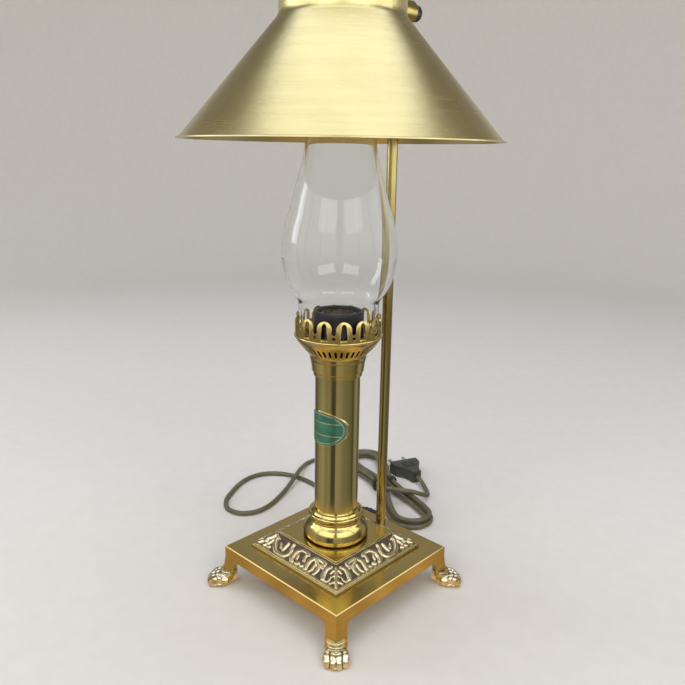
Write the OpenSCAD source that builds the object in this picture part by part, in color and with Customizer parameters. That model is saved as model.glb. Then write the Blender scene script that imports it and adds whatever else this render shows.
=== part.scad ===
// Brass table lamp in the style of an oil lamp: a square plinth on paw feet, a round column,
// a pierced gallery holding a glass chimney, and a conical shade that slides and turns on a side rod.
// Units are millimetres. +Z is up, the plinth's centre on the table is the origin, the oval plate
// faces -Y and the side rod stands at +Y.

/* [Plinth] */
// Width of the square plinth over its top edge
plinth_w = 140; // [130:1:160]
// Height of the plinth's flat flange above the table
plinth_h = 37; // [33:1:45]
// Thickness of the plinth's sheet brass
sheet = 2; // [1.6:0.1:2.4]
// Height of the skirt between the legs
skirt_h = 11; // [8:1:13]
// Width of each arm of a leg at its corner
leg_w = 12.5; // [10:0.5:16]
// How far a leg flares outwards at its foot
leg_flare = 4.2; // [3:0.2:5]
// Height of a leg's lower edge above the table
leg_foot_z = 4.6; // [4:0.2:6]
// Height of a paw foot, up to the rim round its wrist
paw_h = 14.6; // [13.4:0.2:16]
// Width of a paw foot over its four toes
paw_w = 20.2; // [18:0.2:21]
// Width of the leaf frame over its outer edge
frame_w = 106.6; // [102:0.2:110]
// Height of the leaf frame's upright outer edge
frame_edge = 2.6; // [2:0.2:4]
// Width of the flat square top plate
top_w = 71; // [66:1:76]
// Height of the top plate's upper face above the table
top_z = 52.3; // [50:0.5:58]
// How far the cast leaves stand out of the slopes
leaf_relief = 1.6; // [1:0.1:2.2]

/* [Column] */
// Outer diameter of the column tube
column_d = 38.1; // [34:0.1:40]
// Wall of the column tube
column_wall = 1; // [0.8:0.1:1.5]
// Height of the column from the top plate to the gallery's floor
column_h = 161.2; // [140:0.2:200]
// Length of the oval plate, measured round the column
badge_w = 48; // [36:1:50]
// Height of the oval plate
badge_h = 30; // [20:1:36]
// Height of the oval plate's middle above the top plate
badge_z = 103.7; // [80:0.1:120]
// Diameter of the turned foot under the column
foot_d = 57.8; // [54:0.2:62]
// Height of the turned foot
foot_h = 26.2; // [24:0.2:30]
// Diameter of the collar under the gallery
collar_d = 46.4; // [45:0.2:48]

/* [Gallery] */
// Outer diameter of the gallery's crown
crown_d = 71.8; // [69:0.2:76]
// Height of the pierced bowl from its floor to the crown
bowl_h = 19.8; // [18:0.1:23]
// Height of the crown above the bowl
crown_h = 19; // [17:0.1:21]
// Number of arched prongs round the crown
prongs = 14; // [10:1:16]
// Number of vents round the bowl
vents = 40; // [28:2:42]
// Outer diameter of the lampholder
holder_d = 41.8; // [40:0.2:43]
// Height of the lampholder above the gallery's floor
holder_h = 40; // [36:1:44]

/* [Chimney] */
// Outer diameter of the chimney's foot
fitter_d = 66.4; // [64:0.2:67]
// Outer diameter of the chimney's bulge
bulge_d = 93.2; // [84:0.2:93.2]
// Outer diameter of the chimney's neck
flue_d = 53.4; // [48:0.2:54]
// Length of the chimney
chimney_h = 249; // [238:1:252]
// Height of the bulge's widest place above the chimney's foot
bulge_z = 64.5; // [58:0.5:70]
// Height above its foot at which the chimney's neck becomes straight
flue_z = 168; // [150:1:180]
// Wall of the glass
glass = 2; // [1.6:0.1:2.4]

/* [Side rod] */
// Diameter of the side rod
rod_d = 9; // [8:0.1:10]
// Distance from the plinth's back edge to the side rod's axis
rod_inset = 8; // [7:0.1:8.6]
// How far the side rod stands above the shade's boss
rod_spare = 9; // [9:1:30]
// Radial running clearance of a turned or sliding fit
run_fit = 0.05; // [0.03:0.01:0.08]

/* [Shade] */
// Diameter of the shade over its lip
shade_d = 250; // [230:1:270]
// Height of the shade's rim above the table
rim_z = 388; // [384:1:392]
// Outer diameter of the shade's neck
neck_d = 95; // [94:0.2:97]
// Height of the cone from the rim to the neck
cone_h = 88; // [84:1:92]
// Height of the neck above the cone
neck_h = 37; // [34:1:44]
// Thickness of the spun sheet
spun = 0.8; // [0.7:0.1:1.2]
// Diameter of the boss that clamps the side rod
boss_d = 18; // [17:0.5:18.5]
// Diameter of the thumb knob
knob_d = 13; // [12:0.5:16]

/* [Cord] */
// Diameter of the mains cord
cord_d = 5; // [4.6:0.1:5]
// Length of the plug's body
plug_l = 36; // [32:1:40]
// Thickness of the plug's body
plug_t = 14; // [12:0.5:15]

/* [Hidden] */
$fn = 72;

brass = [0.72, 0.60, 0.28];
pale_brass = [0.80, 0.74, 0.55];
dark_brass = [0.45, 0.36, 0.14];
black = [0.06, 0.06, 0.06];
olive = [0.29, 0.28, 0.20];

// Clearances between pieces of one body, and the cut's overshoot
seat_gap = 0.1;
over = 1;

// Plinth
half_w = plinth_w / 2;
flange_under = plinth_h - sheet;
leg_inner = half_w - leg_w;
skirt_z = plinth_h - skirt_h;
// Outline of a leg: how far it stands out from the skirt, and at what height
leg_line = [for (t = [0, 0.3, 0.62, 1])
    [leg_flare * pow(1 - t, 1.5), leg_foot_z + t * (skirt_z + 1 - leg_foot_z)]];
frame_half = frame_w / 2;
top_half = top_w / 2;
top_t = 2;
top_under = top_z - top_t;
frame_lip = 0.6;
frame_wall = 2.4;
tube_r = 5;
tube_hole = tube_r + 0.3;
rod_y = half_w - rod_inset;

// Column, stacked on the top plate
column_r = column_d / 2;
socket_r = column_r + seat_gap;
foot_r = foot_d / 2;
foot_floor = 4;
gallery_z = top_z + column_h;
collar_r = collar_d / 2;
collar_h = 13.5;
collar_top = 5.5;
badge_t = 0.8;

// Gallery, stacked on the collar
crown_r = crown_d / 2;
crown_wall = 1.2;
bowl_foot_r = collar_r - 0.8;
crown_z = gallery_z + bowl_h;
crown_top = crown_z + crown_h;
floor_t = 1.4;
ledge_z = crown_z + 3.1;
ledge_t = 1.1;
holder_z = gallery_z + floor_t;
holder_top = holder_z + holder_h;
holder_r = holder_d / 2;
socket_bore_r = 13.35;

// Chimney, seated on the crown's ledge
chimney_z = ledge_z + ledge_t + 0.1;

// Side rod
rod_r = rod_d / 2;
stud_r = 3;

// Shade
rim_r = shade_d / 2;
lip = 3;
neck_r = neck_d / 2;
cone_r = rim_r - lip;
neck_z = rim_z + cone_h;
neck_top = neck_z + neck_h;
boss_z = neck_z + 14;
boss_end = rod_y + 16.5;
screw_end = rod_y - rod_r - 3;
rod_top = boss_z + boss_d / 2 + rod_spare;
knob_l = 8.6;

// Cord route. The lead leaves the strain relief at the back skirt, drops behind the plinth, turns back
// along the table, makes one loose loop to the left and runs up to the hank.
cord_r = cord_d / 2;
relief_z = 30;
relief_route = [[-36, 70, 30], [-36, 74, 30], [-34.5, 78, 29.7], [-30, 81.5, 28.8], [-24, 83, 27.2],
    [-17, 83.5, 25]];
lead_route = [
    [-17, 83.5, 25], [-12, 84, 23.4], [-3, 84, 19.5], [8, 83, 13.5], [18, 82.5, 7.5], [28, 83.5, 3.6],
    [37, 88, 2.5], [41, 96, 2.5], [37, 105, 2.5], [27, 109, 2.5], [12, 109, 2.5], [-6, 109, 2.5],
    [-26, 109, 2.5], [-48, 110, 2.5], [-70, 111, 2.5], [-92, 112, 2.5], [-113, 114, 2.5],
    [-134, 117, 2.5], [-155, 119, 2.5], [-171, 119, 2.5], [-188, 116, 2.5], [-204, 107, 2.5],
    [-215, 93, 2.5], [-218, 76, 2.5], [-213, 57, 2.5], [-203, 38, 2.5], [-191, 21, 2.5],
    [-174, 11, 2.5], [-157, 15, 2.5], [-148, 30, 2.5], [-149, 48, 2.5], [-155, 66, 2.7],
    [-162, 84, 4.2], [-169, 100, 7], [-176, 114, 8.8], [-184, 127, 8.2], [-192, 139, 5.2],
    [-199, 152, 2.8], [-200, 166, 2.5], [-196, 179, 2.5], [-187, 188, 2.5], [-176, 191, 2.5]];

// The hank lies behind the plinth. Its loops run between two folds and are drawn together at the waist.
hank_at = [-87, 174];
hank_turn = -28;
hank_run = 72;
hank_inner = 15;
hank_step = 6.2;
waist_step = 5.9;
layer_rise = 5.7;
waist_lift = 1.7;
loop_rings = 24;
climb_ring = 36;
hank_rings = 75;

// Last stretch, in the hank's own directions: over the bundle beside the tie, down and back to the plug
tail_route = [[20, -12, 13], [27, -8, 15.4], [32.5, -1, 15.8], [36.5, 7, 15.2],
    [40, 15, 14.4], [42, 23, 11.8], [40, 30.5, 8], [34.5, 36.3, 4.6], [27, 40.2, 2.8],
    [17.5, 42.2, 3.4], [8, 42.6, 5.4], [0, 42.4, 6.8]];
plug_turn = 185;
plug_pin_l = 19;
pin_r = 2;
pin_root_r = 1.6;
pin_root_l = 6;
pin_half_spacing = 9.3;

function lerp(a, b, t) = a + (b - a) * t;
function unit(v) = v / norm(v);
function sum(v, i = 0) = i >= len(v) ? 0 : v[i] + sum(v, i + 1);

// Points of an arc about [cx, cy]
function arc(cx, cy, r, a0, a1, n) =
    [for (i = [0:n]) let (a = lerp(a0, a1, i / n)) [cx + r * cos(a), cy + r * sin(a)]];

// A smooth curve through the given points, with k steps between each two
function curve_at(a, b, c, d, t) =
    0.5 * ((2 * b) + (c - a) * t + (2 * a - 5 * b + 4 * c - d) * t * t
        + (3 * b - a - 3 * c + d) * t * t * t);
function smooth(p, k) = concat(
    [for (i = [0:len(p) - 2], j = [0:k - 1])
        curve_at(p[max(i - 1, 0)], p[i], p[i + 1], p[min(i + 2, len(p) - 1)], j / k)],
    [p[len(p) - 1]]);

// Directions and side vectors along a path, carried without twist
function heading(p, i) = unit(p[min(i + 1, len(p) - 1)] - p[max(i - 1, 0)]);
function level(n, t) = unit(n - (n * t) * t);
function sides(p, i, n) = i >= len(p) ? []
    : let (m = level(n, heading(p, i))) concat([m], sides(p, i + 1, m));

// A tube of the given radius and number of sides swept along a path
module sweep(path, r, m, first = [0, 0, 1]) {
    n = sides(path, 0, first);
    points = [for (i = [0:len(path) - 1], j = [0:m - 1])
        let (t = heading(path, i), b = cross(t, n[i]), a = 360 * (j + 0.5) / m)
            path[i] + r * (cos(a) * n[i] + sin(a) * b)];
    walls = [for (i = [0:len(path) - 2], j = [0:m - 1], h = [0, 1])
        let (k = (j + 1) % m, a = i * m + j, b = i * m + k, c = a + m, d = b + m)
            h == 0 ? [a, c, d] : [a, d, b]];
    ends = [[for (j = [0:m - 1]) j], [for (j = [m - 1:-1:0]) (len(path) - 1) * m + j]];
    polyhedron(points, concat(walls, ends));
}

// A solid of square sections: each ring is [half width, height]
module square_stack(rings) {
    corners = [[1, -1], [1, 1], [-1, 1], [-1, -1]];
    points = [for (r = rings, c = corners) [c[0] * r[0], c[1] * r[0], r[1]]];
    walls = [for (i = [0:len(rings) - 2], j = [0:3])
        let (k = (j + 1) % 4) [i * 4 + j, i * 4 + j + 4, i * 4 + k + 4, i * 4 + k]];
    ends = [[0, 1, 2, 3], [for (j = [3:-1:0]) (len(rings) - 1) * 4 + j]];
    polyhedron(points, concat(walls, ends));
}

module turned(profile) {
    rotate_extrude() polygon(profile);
}

module hex_nut(across, height, bore_r) {
    difference() {
        cylinder(d = across / cos(30), h = height, $fn = 6);
        translate([0, 0, -over]) cylinder(r = bore_r, h = height + 2 * over);
    }
}

module washer(outer_r, bore_r, height) {
    difference() {
        cylinder(r = outer_r, h = height);
        translate([0, 0, -over]) cylinder(r = bore_r, h = height + 2 * over);
    }
}

// Flange, skirt and four corner legs in one pressed sheet
module plinth() {
    fillet = 4;
    leg_splay = leg_flare * 1.2;
    window = concat([[-leg_inner - leg_splay, -over]],
        arc(-leg_inner + fillet, skirt_z - fillet, fillet, 180, 90, 6),
        arc(leg_inner - fillet, skirt_z - fillet, fillet, 90, 0, 6), [[leg_inner + leg_splay, -over]]);
    color(brass) difference() {
        square_stack(concat([for (f = leg_line) [half_w + f[0], f[1]]],
            [[half_w, plinth_h - 0.8], [half_w - 0.8, plinth_h]]));
        square_stack(concat([[half_w + leg_splay - sheet, leg_foot_z - over]],
            [for (f = leg_line) [half_w + f[0] - sheet, f[1]]], [[half_w - sheet, flange_under]]));
        for (a = [0, 90])
            rotate([0, 0, a]) translate([0, plinth_w, 0]) rotate([90, 0, 0])
                linear_extrude(2 * plinth_w) polygon(window);
        translate([0, 0, flange_under - over]) cylinder(r = tube_hole, h = sheet + 2 * over);
        translate([0, rod_y, flange_under - over]) cylinder(r = stud_r + run_fit, h = sheet + 2 * over);
        translate([relief_route[0][0], half_w + over, relief_z]) rotate([90, 0, 0])
            cylinder(r = 4.1, h = sheet + 2 * over);
    }
}

// One lobed leaf lying in the XY plane, its tip towards +Y
module leaf(length, width) {
    steps = 14;
    side = [for (i = [1:steps - 1]) let (t = i / steps)
        [width / 2 * pow(sin(180 * t), 0.6) * (0.86 + 0.14 * cos(360 * 3 * t)), length * t]];
    linear_extrude(leaf_relief + 0.4)
        polygon(concat([[0, 0]], side, [[0, length]],
            [for (i = [len(side) - 1:-1:0]) [-side[i][0], side[i][1]]]));
}

// Cast frame with a row of leaves on each of its four slopes
module leaf_frame() {
    top_in = top_half - frame_lip;
    edge_z = plinth_h + frame_edge;
    run = frame_half - top_in;
    rise = top_under - edge_z;
    slope = atan2(rise, run);
    slant = norm([run, rise]);
    count = 6;
    pitch = (frame_w - 12) / count;
    leaf_l = slant * 0.72;
    color(pale_brass) difference() {
        union() {
            square_stack([[frame_half, plinth_h], [frame_half, edge_z], [top_in, top_under]]);
            for (a = [0:90:270], i = [0:count - 1])
                let (x = (i - (count - 1) / 2) * pitch, reach = 1 - 0.42 * pow(abs(x) / frame_half, 2))
                    rotate([0, 0, a]) translate([x * 0.86, -frame_half + run * 0.14, edge_z + rise * 0.14])
                        rotate([slope, 0, 0]) translate([0, 0, -0.4]) leaf(leaf_l, pitch * 0.86 * reach);
        }
        square_stack([[frame_half - frame_wall, plinth_h - over], [frame_half - frame_wall, edge_z - 0.6],
            [top_in - frame_wall - 1, top_under + 0.01], [top_in - frame_wall - 1, top_under + over]]);
    }
}

module top_plate() {
    color(brass) difference() {
        square_stack([[top_half, top_under], [top_half, top_z - 0.5], [top_half - 0.5, top_z]]);
        translate([0, 0, top_under - over]) cylinder(r = tube_hole, h = top_t + 2 * over);
    }
}

// A cast paw in front of the leg's corner: a rimmed wrist, four toes, a sole that passes under the leg
// and a tang inside the corner
module paw(x, y) {
    corner = norm([half_w, half_w]);
    foot = norm([half_w + leg_flare, half_w + leg_flare]);
    toe_r = 3;
    outer_toe = paw_w / 2 - toe_r;
    tang_in = half_w - sheet - 8;
    tang_out = half_w - sheet - 0.3;
    sole_t = leg_foot_z - seat_gap;
    color(pale_brass) union() {
        difference() {
            rotate([0, 0, atan2(y, x)]) {
                translate([foot - 8.7, 0, 9]) cylinder(r = 6.2, h = paw_h - 9);
                translate([foot - 8.7, 0, paw_h - 1.1]) cylinder(r = 7.4, h = 1.1);
                hull($fn = 24) {
                    translate([foot - 8, 0, 2]) cylinder(r = 7.6, h = 8.6);
                    translate([foot + 1, 0, 2.5]) cylinder(r = 8.6, h = 6.3);
                    translate([foot + 6, 0, 4.3]) sphere(r = 4);
                }
                hull($fn = 24) {
                    translate([corner - 7, 0, 0]) cylinder(r = 6, h = sole_t);
                    translate([foot + 3.2, 0, 0]) cylinder(r = 5.3, h = 0.5);
                    translate([foot + 2.8, 0, 3]) cylinder(r = 8.4, h = 1);
                }
                for (v = [-1, -1 / 3, 1 / 3, 1] * outer_toe)
                    hull($fn = 16) {
                        translate([foot + 0.8, v * 0.9, 7.6]) sphere(r = toe_r);
                        translate([foot + 5.6 - 0.05 * v * v, v, 6.3]) sphere(r = toe_r);
                        translate([foot + 9.9 - 0.05 * v * v, v * 0.97, 3.7]) sphere(r = toe_r - 0.4);
                    }
            }
            square_stack(concat([[half_w + leg_flare + seat_gap / 2, sole_t]],
                [for (f = leg_line) [half_w + f[0] + seat_gap / 2, f[1]]]));
        }
        translate([x > 0 ? tang_in : -tang_out, y > 0 ? tang_in : -tang_out, sole_t - 1])
            cube([tang_out - tang_in, tang_out - tang_in, flange_under - sole_t - 3]);
    }
}
module paw_foot_front_left() paw(-1, -1);
module paw_foot_front_right() paw(1, -1);
module paw_foot_back_left() paw(-1, 1);
module paw_foot_back_right() paw(1, 1);

// Turned foot that carries the column tube. Its curves are given as shares of the step from the column
// to the foot's widest place, and of the foot's height.
function foot_curve(shares) = [for (p = shares) [lerp(socket_r, foot_r, p[0]), foot_h * p[1]]];
module column_foot() {
    ovolo = smooth(foot_curve([[1, 0.107], [0.98, 0.19], [0.867, 0.328], [0.682, 0.447], [0.528, 0.508]]), 3);
    scotia = smooth(foot_curve([[0.446, 0.53], [0.344, 0.592], [0.344, 0.656], [0.436, 0.714]]), 3);
    ring_at = foot_curve([[0.395, 0.802]])[0];
    ring = arc(ring_at[0], ring_at[1], foot_h * 0.057, -80, 90, 6);
    cove = smooth(foot_curve([[0.292, 0.87], [0.18, 0.924], [0.138, 0.97], [0.097, 1]]), 2);
    under = foot_r - 2.3;
    color(brass) translate([0, 0, top_z]) turned(concat(
        [[tube_hole, 0], [under, 0], [under, 1.2], [foot_r - 0.5, 1.5]], ovolo, scotia, ring, cove,
        [[socket_r, foot_h], [socket_r, foot_floor], [tube_hole, foot_floor]]));
}

module column_tube() {
    color(brass) translate([0, 0, top_z + foot_floor])
        difference() {
            cylinder(r = column_r, h = column_h - foot_floor - collar_top);
            translate([0, 0, -over])
                cylinder(r = column_r - column_wall, h = column_h);
        }
}

// Thin oval plate bent round the front of the column
module oval_plate() {
    turn = badge_w / 2 / column_r * 180 / PI;
    slice = 24;
    color([0.10, 0.30, 0.18]) intersection() {
        translate([0, 0, top_z + badge_z - badge_h]) difference() {
            cylinder(r = column_r + badge_t, h = 2 * badge_h);
            translate([0, 0, -over]) cylinder(r = column_r + 0.02, h = 2 * badge_h + 2 * over);
        }
        translate([0, 0, top_z + badge_z]) rotate([0, 0, -90]) {
            half_chord = (column_r + badge_t) * sin(min(turn, 80));
            rotate([90, 0, 90]) linear_extrude(column_d)
                polygon([for (i = [0:2 * slice - 1]) let (a = 180 * i / slice)
                    [half_chord * sin(turn * cos(a)) / sin(turn), badge_h / 2 * sin(a)]]);
        }
    }
}

// Turned collar that caps the column and carries the gallery
module column_collar() {
    z0 = gallery_z - collar_h;
    sleeve_r = column_r + 1.55;
    color(brass) turned([[socket_r, z0], [sleeve_r, z0], [sleeve_r, z0 + 3.2],
        [lerp(sleeve_r, collar_r, 0.23), z0 + 3.6], [lerp(sleeve_r, collar_r, 0.5), z0 + 4.2],
        [collar_r, gallery_z], [tube_hole, gallery_z],
        [tube_hole, gallery_z - collar_top], [socket_r, gallery_z - collar_top]]);
}

// Spun bowl with a ring of slanted vents. Its curves are shares of the step from its foot to the crown,
// and of its height.
function bowl_curve(shares, top_r) = [for (p = shares) [lerp(bowl_foot_r, top_r, p[0]), bowl_h * p[1]]];
module gallery_bowl() {
    wall = 1.2;
    outside = bowl_curve([[0, 0], [0.089, 0.046], [0.126, 0.202], [0.237, 0.323], [0.437, 0.465],
        [0.704, 0.687], [0.904, 0.869], [1, 1]], crown_r);
    inside = concat(bowl_curve([[1, 1], [0.911, 0.902], [0.696, 0.722], [0.407, 0.505], [0.185, 0.361],
        [0.046, 0.222]], crown_r - wall), [[bowl_foot_r, floor_t]]);
    vent_w = 1.9;
    vent_r = lerp(bowl_foot_r, crown_r, 0.43);
    color(brass) difference() {
        translate([0, 0, gallery_z])
            turned(concat([[tube_hole, 0]], smooth(outside, 2), smooth(inside, 2), [[tube_hole, floor_t]]));
        for (i = [0:vents - 1])
            rotate([0, 0, 360 * (i + 0.5) / vents]) translate([vent_r, 0, gallery_z + bowl_h * 0.54])
                rotate([0, 36, 0]) cube([8, vent_w, bowl_h * 0.43], center = true);
    }
}

// Pierced crown: arched prongs with tapered slots, keyhole gaps and small round holes. A ledge inside it
// carries the glass.
module gallery_crown() {
    r_in = crown_r - crown_wall;
    pitch = 2 * PI * crown_r / prongs;
    gap = 3.4;
    arch = (pitch - gap) / 2;
    arch_z = crown_top - arch;
    gap_z = arch_z - 2.6;
    hole_r = 1.5;
    slot_foot = 2.8;
    slot_head = 1.8;
    slot_rim = 1.7;
    gap_cut = concat([[-pitch / 2, crown_top + over]],
        arc(-pitch / 2, arch_z, arch, 90, 0, 5), arc(0, gap_z, gap / 2, 180, 360, 6),
        arc(pitch / 2, arch_z, arch, 180, 90, 5), [[pitch / 2, crown_top + over]]);
    slot_z = crown_z + 3.6;
    slot_cut = concat([[-slot_foot, slot_z], [slot_foot, slot_z]],
        arc(0, crown_top - slot_rim - slot_head, slot_head, 0, 180, 5));
    bead = arc(crown_r - 0.3, crown_z + 1.1, 1.1, -90, 90, 6);
    color(brass) {
        difference() {
            turned(concat([[r_in, crown_z]], bead, [[crown_r, crown_z + 2.2], [crown_r, crown_top],
                [r_in, crown_top]]));
            for (i = [0:prongs - 1]) {
                rotate([0, 0, 360 * i / prongs]) {
                    translate([r_in - 3, 0, 0]) rotate([90, 0, 90]) linear_extrude(8) polygon(gap_cut);
                    translate([r_in - 3, 0, crown_z + 5.5]) rotate([0, 90, 0]) cylinder(r = hole_r, h = 8);
                }
                rotate([0, 0, 360 * (i + 0.5) / prongs])
                    translate([r_in - 3, 0, 0]) rotate([90, 0, 90]) linear_extrude(8) polygon(slot_cut);
            }
        }
        translate([0, 0, ledge_z]) washer(r_in + 0.2, 28.5, ledge_t);
    }
}

// Clear glass chimney: straight foot, round bulge, long neck
module chimney() {
    foot = fitter_d / 2;
    bulge = bulge_d / 2;
    flue = flue_d / 2;
    low = [for (p = [[0, 0], [0, 0.25], [0.02, 0.39], [0.42, 0.52], [0.74, 0.66], [0.95, 0.85]])
        [lerp(foot, bulge, p[0]), bulge_z * p[1]]];
    high = [for (p = [[0, 0], [0.05, 0.111], [0.17, 0.232], [0.33, 0.329], [0.53, 0.473], [0.72, 0.6],
        [0.87, 0.715], [0.95, 0.826], [1, 1]]) [lerp(bulge, flue, p[0]), lerp(bulge_z, flue_z, p[1])]];
    outer = concat(low, high, [[flue, lerp(flue_z, chimney_h, 0.46)], [flue, chimney_h]]);
    line = smooth(outer, 3);
    inner = [for (i = [len(line) - 1:-1:0]) [line[i][0] - glass, line[i][1]]];
    color([0.85, 0.92, 0.92, 0.35]) translate([0, 0, chimney_z]) turned(concat(line, inner));
}

// Hollow threaded tube that pulls the whole column together
module threaded_tube() {
    color(dark_brass) translate([0, 0, flange_under - 11])
        washer(tube_r, tube_r - 1, gallery_z - flange_under + 11 + floor_t + 4);
}
module tube_washer() {
    color(dark_brass) translate([0, 0, flange_under - 1.5]) washer(14, tube_r + 0.15, 1.5);
}
module tube_nut() {
    color(dark_brass) translate([0, 0, flange_under - 1.5 - 6]) hex_nut(17, 6, tube_r + 0.1);
}

// Moulded cap of the lampholder, screwed on the threaded tube
module holder_cap() {
    color(black) translate([0, 0, holder_z]) turned([[tube_r + 0.1, 0], [15, 0], [18.6, 2.2],
        [holder_r - 1.4, 6], [holder_r - 1.4, 10], [holder_r - 3.6, 10], [holder_r - 3.6, 6.5],
        [14, 3.4], [tube_r + 0.1, 3.4]]);
}

// Moulded outer shell of the lampholder
module holder_shell() {
    h = holder_h - 10;
    color(black) translate([0, 0, holder_z + 10]) turned([[holder_r - 3.6, 0], [holder_r - 1, 0],
        [holder_r, 1], [holder_r, h - 1.2], [holder_r - 0.9, h], [holder_r - 3.2, h],
        [holder_r - 3.6, h - 1]]);
}

module contact_block() {
    color([0.85, 0.83, 0.78]) translate([0, 0, holder_z + 10.4]) difference() {
        cylinder(r = holder_r - 3.8, h = 6);
        for (x = [-9, 9]) translate([x, 0, -over]) cylinder(r = 1.6, h = 6 + 2 * over);
    }
}

// Screw shell that takes the bulb's cap
module socket_shell() {
    z0 = holder_z + 16.4;
    color(dark_brass) translate([0, 0, z0]) turned([[socket_bore_r - 3, 0], [socket_bore_r + 0.8, 0],
        [socket_bore_r + 0.8, 21.5], [socket_bore_r, 21.5], [socket_bore_r, 0.8], [socket_bore_r - 3, 0.8]]);
}
module centre_contact() {
    z0 = holder_z + 16.4;
    color(brass) translate([0, 0, z0]) {
        cylinder(r = 4, h = 0.4);
        translate([0, 0, 0.4]) cylinder(r1 = 4, r2 = 3.2, h = 0.4);
    }
}
module terminal_screws() {
    color(dark_brass) for (x = [-9, 9]) translate([x, 0, holder_z + 7.6]) {
        cylinder(r = 2.8, h = 2.8);
        cylinder(r = 1.5, h = 7.6);
    }
}

// Flex inside the lamp: from the strain relief under the flange and up the threaded tube
module inner_flex() {
    entry_x = relief_route[0][0];
    route = [[entry_x, half_w - sheet - 0.8, relief_z], [entry_x, half_w - 12, relief_z - 1],
        [entry_x + 4, half_w - 26, flange_under - 11], [-22, 30, flange_under - 15],
        [-11, 16, flange_under - 18.5], [-3.5, 5.5, flange_under - 20.5], [0, 0.8, flange_under - 16.5],
        [0, 0, flange_under - 9], [0, 0, flange_under + 5], [0, 0, lerp(flange_under, holder_z, 0.31)],
        [0, 0, lerp(flange_under, holder_z, 0.64)], [0, 0, holder_z + 6]];
    color([0.75, 0.72, 0.62]) sweep(smooth(route, 3), 1.9, 8);
}

// Side rod with a threaded stud through the flange
module side_rod() {
    color(brass) translate([0, rod_y, 0]) {
        translate([0, 0, plinth_h]) cylinder(r = rod_r, h = rod_top - plinth_h);
        translate([0, 0, flange_under - 9]) cylinder(r = stud_r, h = 9 + sheet);
    }
}
module rod_cap() {
    r = rod_r + 1.5;
    color(brass) translate([0, rod_y, rod_top]) turned(concat([[0, 0], [r, 0], [r, 3]],
        arc(0, 3, r, 10, 80, 7), [[0, 3 + r]]));
}
module rod_washer() {
    color(dark_brass) translate([0, rod_y, flange_under - 1.2]) washer(5.4, stud_r + 0.1, 1.2);
}
module rod_nut() {
    color(dark_brass) translate([0, rod_y, flange_under - 1.2 - 5]) hex_nut(9, 5, stud_r + 0.1);
}

// Spun shade: outward lip, cone, neck with a rolled edge
module shade() {
    bead = 1.7;
    fillet = 9;
    lean = atan2(cone_r - neck_r, cone_h);
    cut = fillet * tan(lean / 2);
    sweep_in = arc(neck_r + fillet, neck_z + cut, fillet, 180 + lean, 180, 6);
    outside = concat([[rim_r, rim_z], [rim_r, rim_z + spun], [cone_r + 0.6, rim_z + spun + 0.5]],
        sweep_in, [[neck_r, neck_top - bead]]);
    inside = concat([[neck_r - spun, neck_top - bead]],
        [for (i = [len(sweep_in) - 1:-1:0])
            sweep_in[i] - spun * [cos(lerp(lean, 0, i / 6)), sin(lerp(lean, 0, i / 6))]],
        [[cone_r - 0.6, rim_z]]);
    color([0.72, 0.62, 0.34]) {
        difference() {
            turned(concat(outside, inside));
            translate([0, rod_y, rim_z]) cylinder(r = rod_r + 0.8, h = cone_h);
            translate([0, neck_r - 5, boss_z]) rotate([-90, 0, 0]) cylinder(r = 2.05, h = 10);
        }
        translate([0, 0, neck_top - bead]) rotate_extrude()
            translate([neck_r - spun / 2 + 0.6, 0]) circle(r = bead, $fn = 20);
    }
}

// Turned boss on the neck, bored upright for the side rod and tapped for the thumb screw
module shade_boss() {
    r = boss_d / 2;
    color(brass) difference() {
        translate([0, neck_r - 3, boss_z]) rotate([-90, 0, 0]) {
            cylinder(r = r, h = boss_end - neck_r + 3 - 1);
            translate([0, 0, boss_end - neck_r + 2]) cylinder(r1 = r, r2 = r - 1, h = 1);
        }
        translate([0, 0, boss_z - boss_d]) cylinder(r = neck_r + 0.02, h = 2 * boss_d);
        translate([0, rod_y, boss_z - boss_d]) cylinder(r = rod_r + run_fit, h = 2 * boss_d);
        translate([0, rod_y, boss_z]) rotate([-90, 0, 0]) cylinder(r = 2.5, h = boss_end + over - rod_y);
        translate([0, neck_r - 5, boss_z]) rotate([-90, 0, 0])
            cylinder(r = 2.05, h = screw_end + 2 - (neck_r - 5));
    }
}
module boss_screw() {
    head_r = 3.6;
    head_y = sqrt(pow(neck_r - spun, 2) - pow(head_r, 2)) - 0.03;
    color(dark_brass) translate([0, head_y, boss_z]) rotate([90, 0, 0]) {
        cylinder(r1 = head_r, r2 = head_r - 1, h = 1.8);
        translate([0, 0, head_y - screw_end]) cylinder(r = 2, h = screw_end - head_y);
    }
}

// Thumb screw that locks the boss on the rod
module thumb_screw() {
    start = rod_y + rod_r + 0.06;
    color(dark_brass) translate([0, start, boss_z]) rotate([-90, 0, 0])
        cylinder(r = 2.5 - run_fit, h = boss_end + 4 - start);
}
module thumb_knob() {
    r = knob_d / 2;
    color(black) translate([0, boss_end + 0.3, boss_z]) rotate([-90, 0, 0]) difference() {
        union() {
            cylinder(r1 = r - 0.8, r2 = r, h = 0.8);
            translate([0, 0, 0.8]) cylinder(r = r, h = knob_l - 2);
            translate([0, 0, knob_l - 1.2]) cylinder(r1 = r, r2 = r - 1.2, h = 1.2);
        }
        translate([0, 0, -over]) cylinder(r = 2.5 - run_fit, h = 3.7 + over);
        for (a = [0:30:330]) rotate([0, 0, a]) translate([r + 0.45, 0, -over])
            cylinder(r = 1, h = knob_l + 2 * over, $fn = 16);
    }
}

// Strain relief: a grommet in the skirt and a ribbed sleeve that bends with the cord
module strain_relief() {
    path = smooth(relief_route, 2);
    color(black) {
        translate([relief_route[0][0], half_w, relief_z]) rotate([-90, 0, 0]) {
            translate([0, 0, -sheet - 0.8]) cylinder(r = 4, h = sheet + 1);
            cylinder(r = 5.6, h = 2);
        }
        sweep(path, 4.2, 12);
    }
}

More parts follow.
